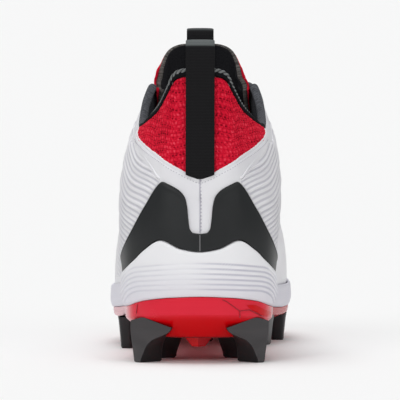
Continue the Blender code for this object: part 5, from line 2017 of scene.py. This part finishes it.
@dataclass
class HeelBlades(Part):
    """The rear heel studs: blades whose outer face spreads into a wing under the heel.

    Each corner's place is in millimetres out from the seam and ahead of the heel's back, over the share of
    the tallest height: a is the outer rear corner, b the rear ridge, c the inner front corner and d the outer
    front one.
    """

    corners: Table = field(default_factory=lambda: Table(
        "ax ay bx by cx cy dx dy",
        (0.00, 35.0, 17.6, 32.0, 14.4, 22.0, 24.0, 31.0, 27.0),
        (0.03, 35.7, 17.2, 32.2, 13.4, 21.0, 24.4, 31.2, 27.8),
        (0.20, 36.2, 17.2, 30.8, 12.4, 20.8, 24.6, 31.8, 28.4),
        (0.38, 36.8, 17.4, 28.8, 11.2, 20.2, 24.6, 32.4, 29.0),
        (0.51, 37.3, 17.8, 25.6, 10.4, 18.8, 24.4, 33.0, 29.6),
        (0.60, 37.6, 18.2, 20.6, 9.6, 16.8, 23.0, 33.4, 30.0),
        (0.70, 37.8, 18.8, 16.4, 9.0, 15.0, 21.0, 33.6, 30.4),
        (0.78, 37.9, 19.2, 15.4, 8.8, 14.0, 20.0, 33.8, 30.6),
        (1.00, 37.6, 19.6, 15.4, 8.8, 14.0, 20.0, 34.0, 31.0),
    ))
    tall: float = 0.0246
    rows: int = 44
    heart: tuple[float, float, float] = (0.0270, 0.0250, 0.0225)
    sides: tuple[tuple[str, float, float], ...] = (
        ("heel_stud_rear_inner", 1.0, -0.0011),
        ("heel_stud_rear_outer", -1.0, 0.0),
    )

    @staticmethod
    def top(face: int, share: Array) -> Array:
        """How high each face reaches along its run, as a share of the tallest height.

        Args:
            face: Which face, from the outer rear corner on.
            share: Places along its run.

        Returns:
            The heights.
        """
        peak = 0.29
        if face == 0:
            return np.where(share < peak, 0.915 + (1.0 - 0.915) * share / peak,
                            1.0 - (1.0 - 0.775) * (share - peak) / (1.0 - peak))
        return {1: 0.775 + 0.0 * share, 2: 0.775 + 0.140 * share, 3: 0.915 + 0.0 * share}[face]

    def rings(self) -> tuple[Array, Array]:
        """The blade's rings for the outer side, and the mark of its lit faces."""
        names = ("a", "b", "c", "d")
        rise = np.concatenate([[0.0, 0.01, 0.02], np.linspace(0.035, 1.0, self.rows)])[:, None]
        columns, marks = [], []
        for face, (start, end) in enumerate(zip(names, names[1:] + names[:1])):
            run = (1.0 - np.cos(np.linspace(0.0, math.pi, 19)[:-1])) / 2 if face == 0 else np.array(
                [0.0, 0.03, 0.08, 0.5, 0.92, 0.97])
            share = rise * self.top(face, run)[None, :]
            spot = []
            for axis in ("x", "y"):
                one, two = self.corners.at(start + axis, share), self.corners.at(end + axis, share)
                spot.append(one + (two - one) * run[None, :])
            columns.append(np.stack([spot[0] * MM, spot[1] * MM, share * self.tall], axis=-1))
            # Painted light and shade: the face from the outer rear corner to the rear ridge takes the lit
            # tone, the outer face part of it, the inner faces the shade tone.
            lit = {0: 1.0, 1: 0.0, 2: 0.0, 3: 0.6}[face]
            marks.append(lit + 0.0 * share)
        points = np.concatenate(columns, axis=1)
        closed = (np.roll(points, 1, axis=1) + 2 * points + np.roll(points, -1, axis=1)) / 4
        soft = points * 0.35 + closed * 0.65
        return soft, np.concatenate(marks, axis=1)

    def build(self) -> None:
        """Makes both blades, with their tops drawn into the plate."""
        rings, marks = self.rings()
        heart = np.array(self.heart)
        tucked = rings[-1:] + (heart - rings[-1:]) * np.array([0.02, 0.5, 0.9])[:, None, None]
        points = np.concatenate([rings, tucked])
        marks = np.concatenate([marks, np.repeat(marks[-1:], 3, axis=0)])
        for name, sign, over in self.sides:
            side = points * np.array([sign, 1.0, 1.0]) + np.array([over, 0.0, 0.0])
            shell = Shell()
            measures = np.stack([side[..., 0] / MM, side[..., 2] / MM, marks], axis=-1)
            grid = shell.add(side, measures)
            shell.quads(grid, closed=True)
            middle = np.broadcast_to(side[0].mean(axis=0), side[0].shape)
            foot = shell.add(np.stack([side[0] * 0.5 + middle * 0.5, middle]))
            shell.join(grid[0], foot[0], closed=True)
            shell.quads(foot, closed=True)
            self.place(shell, name + "_form", [Cloth.STUD], [name], "dark_stud")


@dataclass
class HeelNub(Part):
    """The faceted red nub under the middle of the heel."""

    middle: tuple[float, float] = (-0.0012, 0.0250)
    half: tuple[float, float] = (0.0073, 0.0056)
    rows: tuple[tuple[float, float], ...] = (
        (0.0081, 0.46), (0.0083, 0.51), (0.0130, 1.0), (0.0136, 1.04), (0.0175, 1.10),
    )

    def build(self) -> None:
        """Makes a diamond that widens upwards, with a ridge to the rear."""
        turn = np.linspace(0.0, 4.0, 64, endpoint=False)
        corner = np.array([(0.0, -1.0), (1.0, 0.0), (0.0, 1.0), (-1.0, 0.0), (0.0, -1.0)])
        flat = read_chain(turn, np.arange(5), corner)
        plan = flat * np.array(self.half)
        rings = np.stack([
            np.concatenate([np.array(self.middle) + plan * size, np.full((64, 1), height)], axis=-1)
            for height, size in self.rows
        ])
        fine = rings[:1]
        for one, two in zip(rings, rings[1:]):
            share = np.linspace(0.0, 1.0, 7)[1:, None, None]
            fine = np.concatenate([fine, one + (two - one) * share])
        # Painted light and shade: facets on the outer side take the lit tone, the rest mostly the shade tone.
        mark = np.where(flat[:, 0] < 0.0, 1.0, 0.35)[None, :] + 0.0 * fine[..., 0]
        shell = Shell()
        grid = shell.add(fine, np.stack([fine[..., 0] / MM, fine[..., 2] / MM, mark], axis=-1))
        shell.quads(grid, closed=True)
        tip = shell.add(np.broadcast_to(fine[0].mean(axis=0), fine[0].shape))
        shell.join(grid[0], tip, closed=True)
        self.place(shell, "heel_nub_form", [Cloth.NUB], ["heel_nub"], "red_nub")


@dataclass
class Insole(Part):
    """The lining board on the footbed."""

    dish: float = 0.0012

    def build(self) -> None:
        """Makes the insole, dished in the middle."""
        last = self.last
        around = np.linspace(0.0, 2.0, 240, endpoint=False)
        inset = CUP_WALL + UPPER_WALL + 3 * CLEAR
        low = last.edge(around, inset, last.level(around, "bed") + CLEAR)
        high = last.edge(around, inset + 0.0003, last.level(around, "bed") + CLEAR + INSOLE_THICK)
        shell = Shell()
        under = shell.add(low, last.measure(around, low))
        top = shell.add(high, last.measure(around, high))
        shell.join(under, top, closed=True)
        shell.ladder(top, high, 30, shape=lambda along, across: -self.dish * 4 * across * (1 - across))
        shell.ladder(under, low, 6)
        self.place(shell, "insole_board", [Cloth.SHADED_LINING], ["insole"], "dark_lining")


@dataclass
class Throat(Part):
    """The eyestay with its eyelets, and the crossed laces."""

    count: int = 6
    top: float = 0.50
    front: float = 0.87
    start: float = 15 / 32
    high: float = 0.992
    sewn: float = 0.12

    def places(self) -> Array:
        """Places of the eyelets on one side, evenly apart along the throat, front first."""
        fine = np.linspace(self.top, self.front, 400)
        spots = self.last.brim(fine)
        run = lengths(spots)
        return np.interp(np.linspace(run[-1], 0.0, self.count), run, fine)

    def relief(self, around: Array, up: Array, share: Array) -> tuple[Array, Array]:
        """Flat, with a groove for the stitches near the lower edge."""
        return 0.00135 - 0.00025 * bell(share, self.sewn, 0.03), share

    def build(self) -> None:
        """Makes the eyestay, its stitches, the eyelets and the laces."""
        last = self.last
        around = np.linspace(self.start, 2.0 - self.start, 460)
        self.patch("eyestay_skin", Cloth.WHITE, around, np.full(460, EYESTAY_LOW), np.full(460, self.high),
                   self.relief, 0.0, 26, ["eyestay"], "white_skin", edge=0.06, ends=0.012)
        inside = np.linspace(self.start + 0.006, 2.0 - self.start - 0.006, 460)
        up = np.full(460, EYESTAY_LOW + self.sewn * (self.high - EYESTAY_LOW))
        self.stitches("eyestay_stitches", Cloth.THREAD,
                      [(last.skin(inside, up, 0.0011), last.normal(inside, up))],
                      pitch=0.0026, length=0.0019, thick=0.0006)
        places = self.places()
        self.eyelets(np.concatenate([places, 2.0 - places]))
        self.laces(places)

    def eyelets(self, places: Array) -> None:
        """Makes a rolled rim at each place, and a dark disc of painted shade that closes its bore.

        Args:
            places: Places round the shoe.
        """
        shell = Shell()
        angle = turns(32)
        for place in places:
            middle = self.last.wall(place, EYELET_UP)
            out = self.last.normal(place, EYELET_UP)
            side = unit(np.cross(out, np.array([0.0, 0.0, 1.0])))
            other = np.cross(out, side)
            spoke = spokes(side[None], other[None], angle)[0]
            bore = EYELET_BORE / 2
            rows = []
            for reach, lift in ((bore + 0.0011, 0.0010), (bore + 0.0010, 0.0016), (bore + 0.0005, 0.0019),
                                (bore + 0.0001, 0.0016), (bore, 0.0012)):
                rows.append(middle + out * lift + spoke * reach)
            grid = shell.add(np.stack(rows))
            shell.quads(grid, closed=True)
            # Painted shade: a disc of the shaded lining closes the bore and stands for the shadowed hole.
            shade_disc = shell.add(np.stack([rows[-1], np.broadcast_to(middle + out * 0.00145, rows[-1].shape)]))
            shell.quads(shade_disc, slot=1, closed=True)
        self.place(shell, "eyelet_rims", [Cloth.WHITE, Cloth.SHADED_LINING])

    def laces(self, places: Array) -> None:
        """Makes the bar at the front and the crossings above it.

        Args:
            places: One side's eyelets, front first.
        """
        shell = Shell()
        runs = [(places[0], 2.0 - places[0], 0.0)]
        for one, two in zip(places, places[1:]):
            runs += [(one, 2.0 - two, 0.0), (2.0 - one, two, 1.25 * LACE_THICK)]
        for start, end, over in runs:
            path, face = self.strand(start, end, over)
            near = np.minimum(np.linspace(0.0, 1.0, len(path)), np.linspace(1.0, 0.0, len(path)))
            narrow = 0.55 + 0.45 * soft_step(0.02, 0.14, near)
            self.sweep(shell, path, face, LACE_WIDE, LACE_THICK, narrow=narrow)
        self.place(shell, "lace_straps", [Cloth.LACE], ["laces"], "white_lace")

    def strand(self, start: float, end: float, over: float) -> tuple[Array, Array]:
        """One lace from eyelet to eyelet, and the way that its face looks.

        Args:
            start: The first eyelet.
            end: The last one.
            over: How far it arches over another.

        Returns:
            The middle line and the directions.
        """
        last = self.last
        lift = 4.5 * CLEAR + SKIN + LACE_THICK / 2
        legs = [(EYELET_UP, 0.0002), (EYELET_UP, 0.0016), (EYELET_UP + 0.03, lift), (0.985, lift)]
        first = [(last.skin(start, up, rise), last.normal(start, up)) for up, rise in legs]
        last_legs = [(last.skin(end, up, rise), last.normal(end, up)) for up, rise in legs[::-1]]
        gap = np.linalg.norm(last_legs[0][0] - first[-1][0])
        middle = []
        for share in (0.2, 0.35, 0.5, 0.65, 0.8):
            point = first[-1][0] * (1 - share) + last_legs[0][0] * share
            point = point + np.array([0.0, 0.0, TONGUE_CROWN * gap * 4 * share * (1 - share)])
            face = unit(first[-1][1] * (1 - share) + last_legs[0][1] * share)
            middle.append((point + face * over * bell(share, 0.5, 0.22), face))
        chain = first + middle + last_legs
        path = between(np.stack([point for point, _ in chain]), 7)
        face = between(np.stack([face for _, face in chain]), 7)
        return path, unit(face)


class Lamp(NamedTuple):
    """A far soft light: where it stands, how wide it looks in degrees, and how strong it is."""

    name: str
    way: tuple[float, float, float]
    wide: float
    power: float


@dataclass
class Studio:
    """The pale floor, the soft light and the camera."""

    last: Last
    reach: float = 80.0
    lamps: tuple[Lamp, ...] = (
        Lamp("top", (-0.12, 0.10, 1.00), 40.0, 1.22),
        Lamp("left", (-0.55, -1.00, 0.60), 30.0, 0.56),
        Lamp("right", (0.70, -1.00, 0.60), 40.0, 0.34),
    )
    eye: tuple[float, float, float] = (0.054, -3.0, 0.210)
    aim: tuple[float, float] = (-0.01797, -0.04058)
    lens: float = 504.9
    horizon: float = 0.11
    zenith: float = 0.70

    def floor(self) -> None:
        """A wide pale floor."""
        ends = (-self.reach, self.reach)
        spots = np.array([[(x, y, 0.0) for x in ends] for y in ends])
        shell = Shell()
        shell.quads(shell.add(spots))
        shell.build("floor", [Cloth.FLOOR.value], np.zeros(3))

    def lamp(self, lamp: Lamp) -> None:
        """Hangs one lamp, which falls evenly over the whole floor.

        Args:
            lamp: The lamp.
        """
        light = bpy.data.lights.new(lamp.name, "SUN")
        light.angle = math.radians(lamp.wide)
        light.energy = lamp.power
        made = bpy.data.objects.new(lamp.name, light)
        made.rotation_euler = (-Vector(lamp.way)).to_track_quat("-Z", "Y").to_euler()
        bpy.context.scene.collection.objects.link(made)

    def sky(self) -> bpy.types.World:
        """A white sky that is brighter overhead, like a room of soft boxes."""
        graph = Graph(bpy.data.worlds.new("sky"), "Background")
        way = graph.node("ShaderNodeTexCoord").outputs["Generated"]
        rise = graph.node("ShaderNodeSeparateXYZ", inputs={0: way}).outputs["Z"]
        strength = graph.node("ShaderNodeMapRange", inputs={
            "Value": rise, "To Min": self.horizon, "To Max": self.zenith}).outputs[0]
        return graph.finish(color=(0.985, 0.99, 1.0), strength=strength)

    def build(self) -> None:
        """Sets the floor, lights, sky and camera."""
        self.floor()
        for lamp in self.lamps:
            self.lamp(lamp)
        bpy.context.scene.world = self.sky()
        camera = bpy.data.cameras.new("camera")
        camera.lens = self.lens
        camera.sensor_width = 36.0
        camera.clip_end = 100.0
        made = bpy.data.objects.new("camera", camera)
        made.location = Vector(self.eye) + Vector(self.last.shift)
        made.rotation_euler = Vector((self.aim[0], 1.0, self.aim[1])).to_track_quat("-Z", "Y").to_euler()
        bpy.context.scene.collection.objects.link(made)
        bpy.context.scene.camera = made
        bpy.context.scene.view_settings.view_transform = "Standard"


def main() -> None:
    """Builds the shoe, its floor, light and camera."""
    logging.basicConfig(level=logging.INFO, format="%(message)s")
    last = Last()
    LOG.info("shift %s", last.shift)
    for kind in (Upper, SidePanels, QuarterEdge, HeelCounter, KnitCuff, Piping, Collar, HeelLoop, Tongue,
                 Midsole, Plate, Studs, HeelBlades, HeelNub, Insole, Throat):
        kind(last).build()
        LOG.info("built %s", kind.__name__)
    Studio(last).build()


if __name__ == "__main__":
    main()
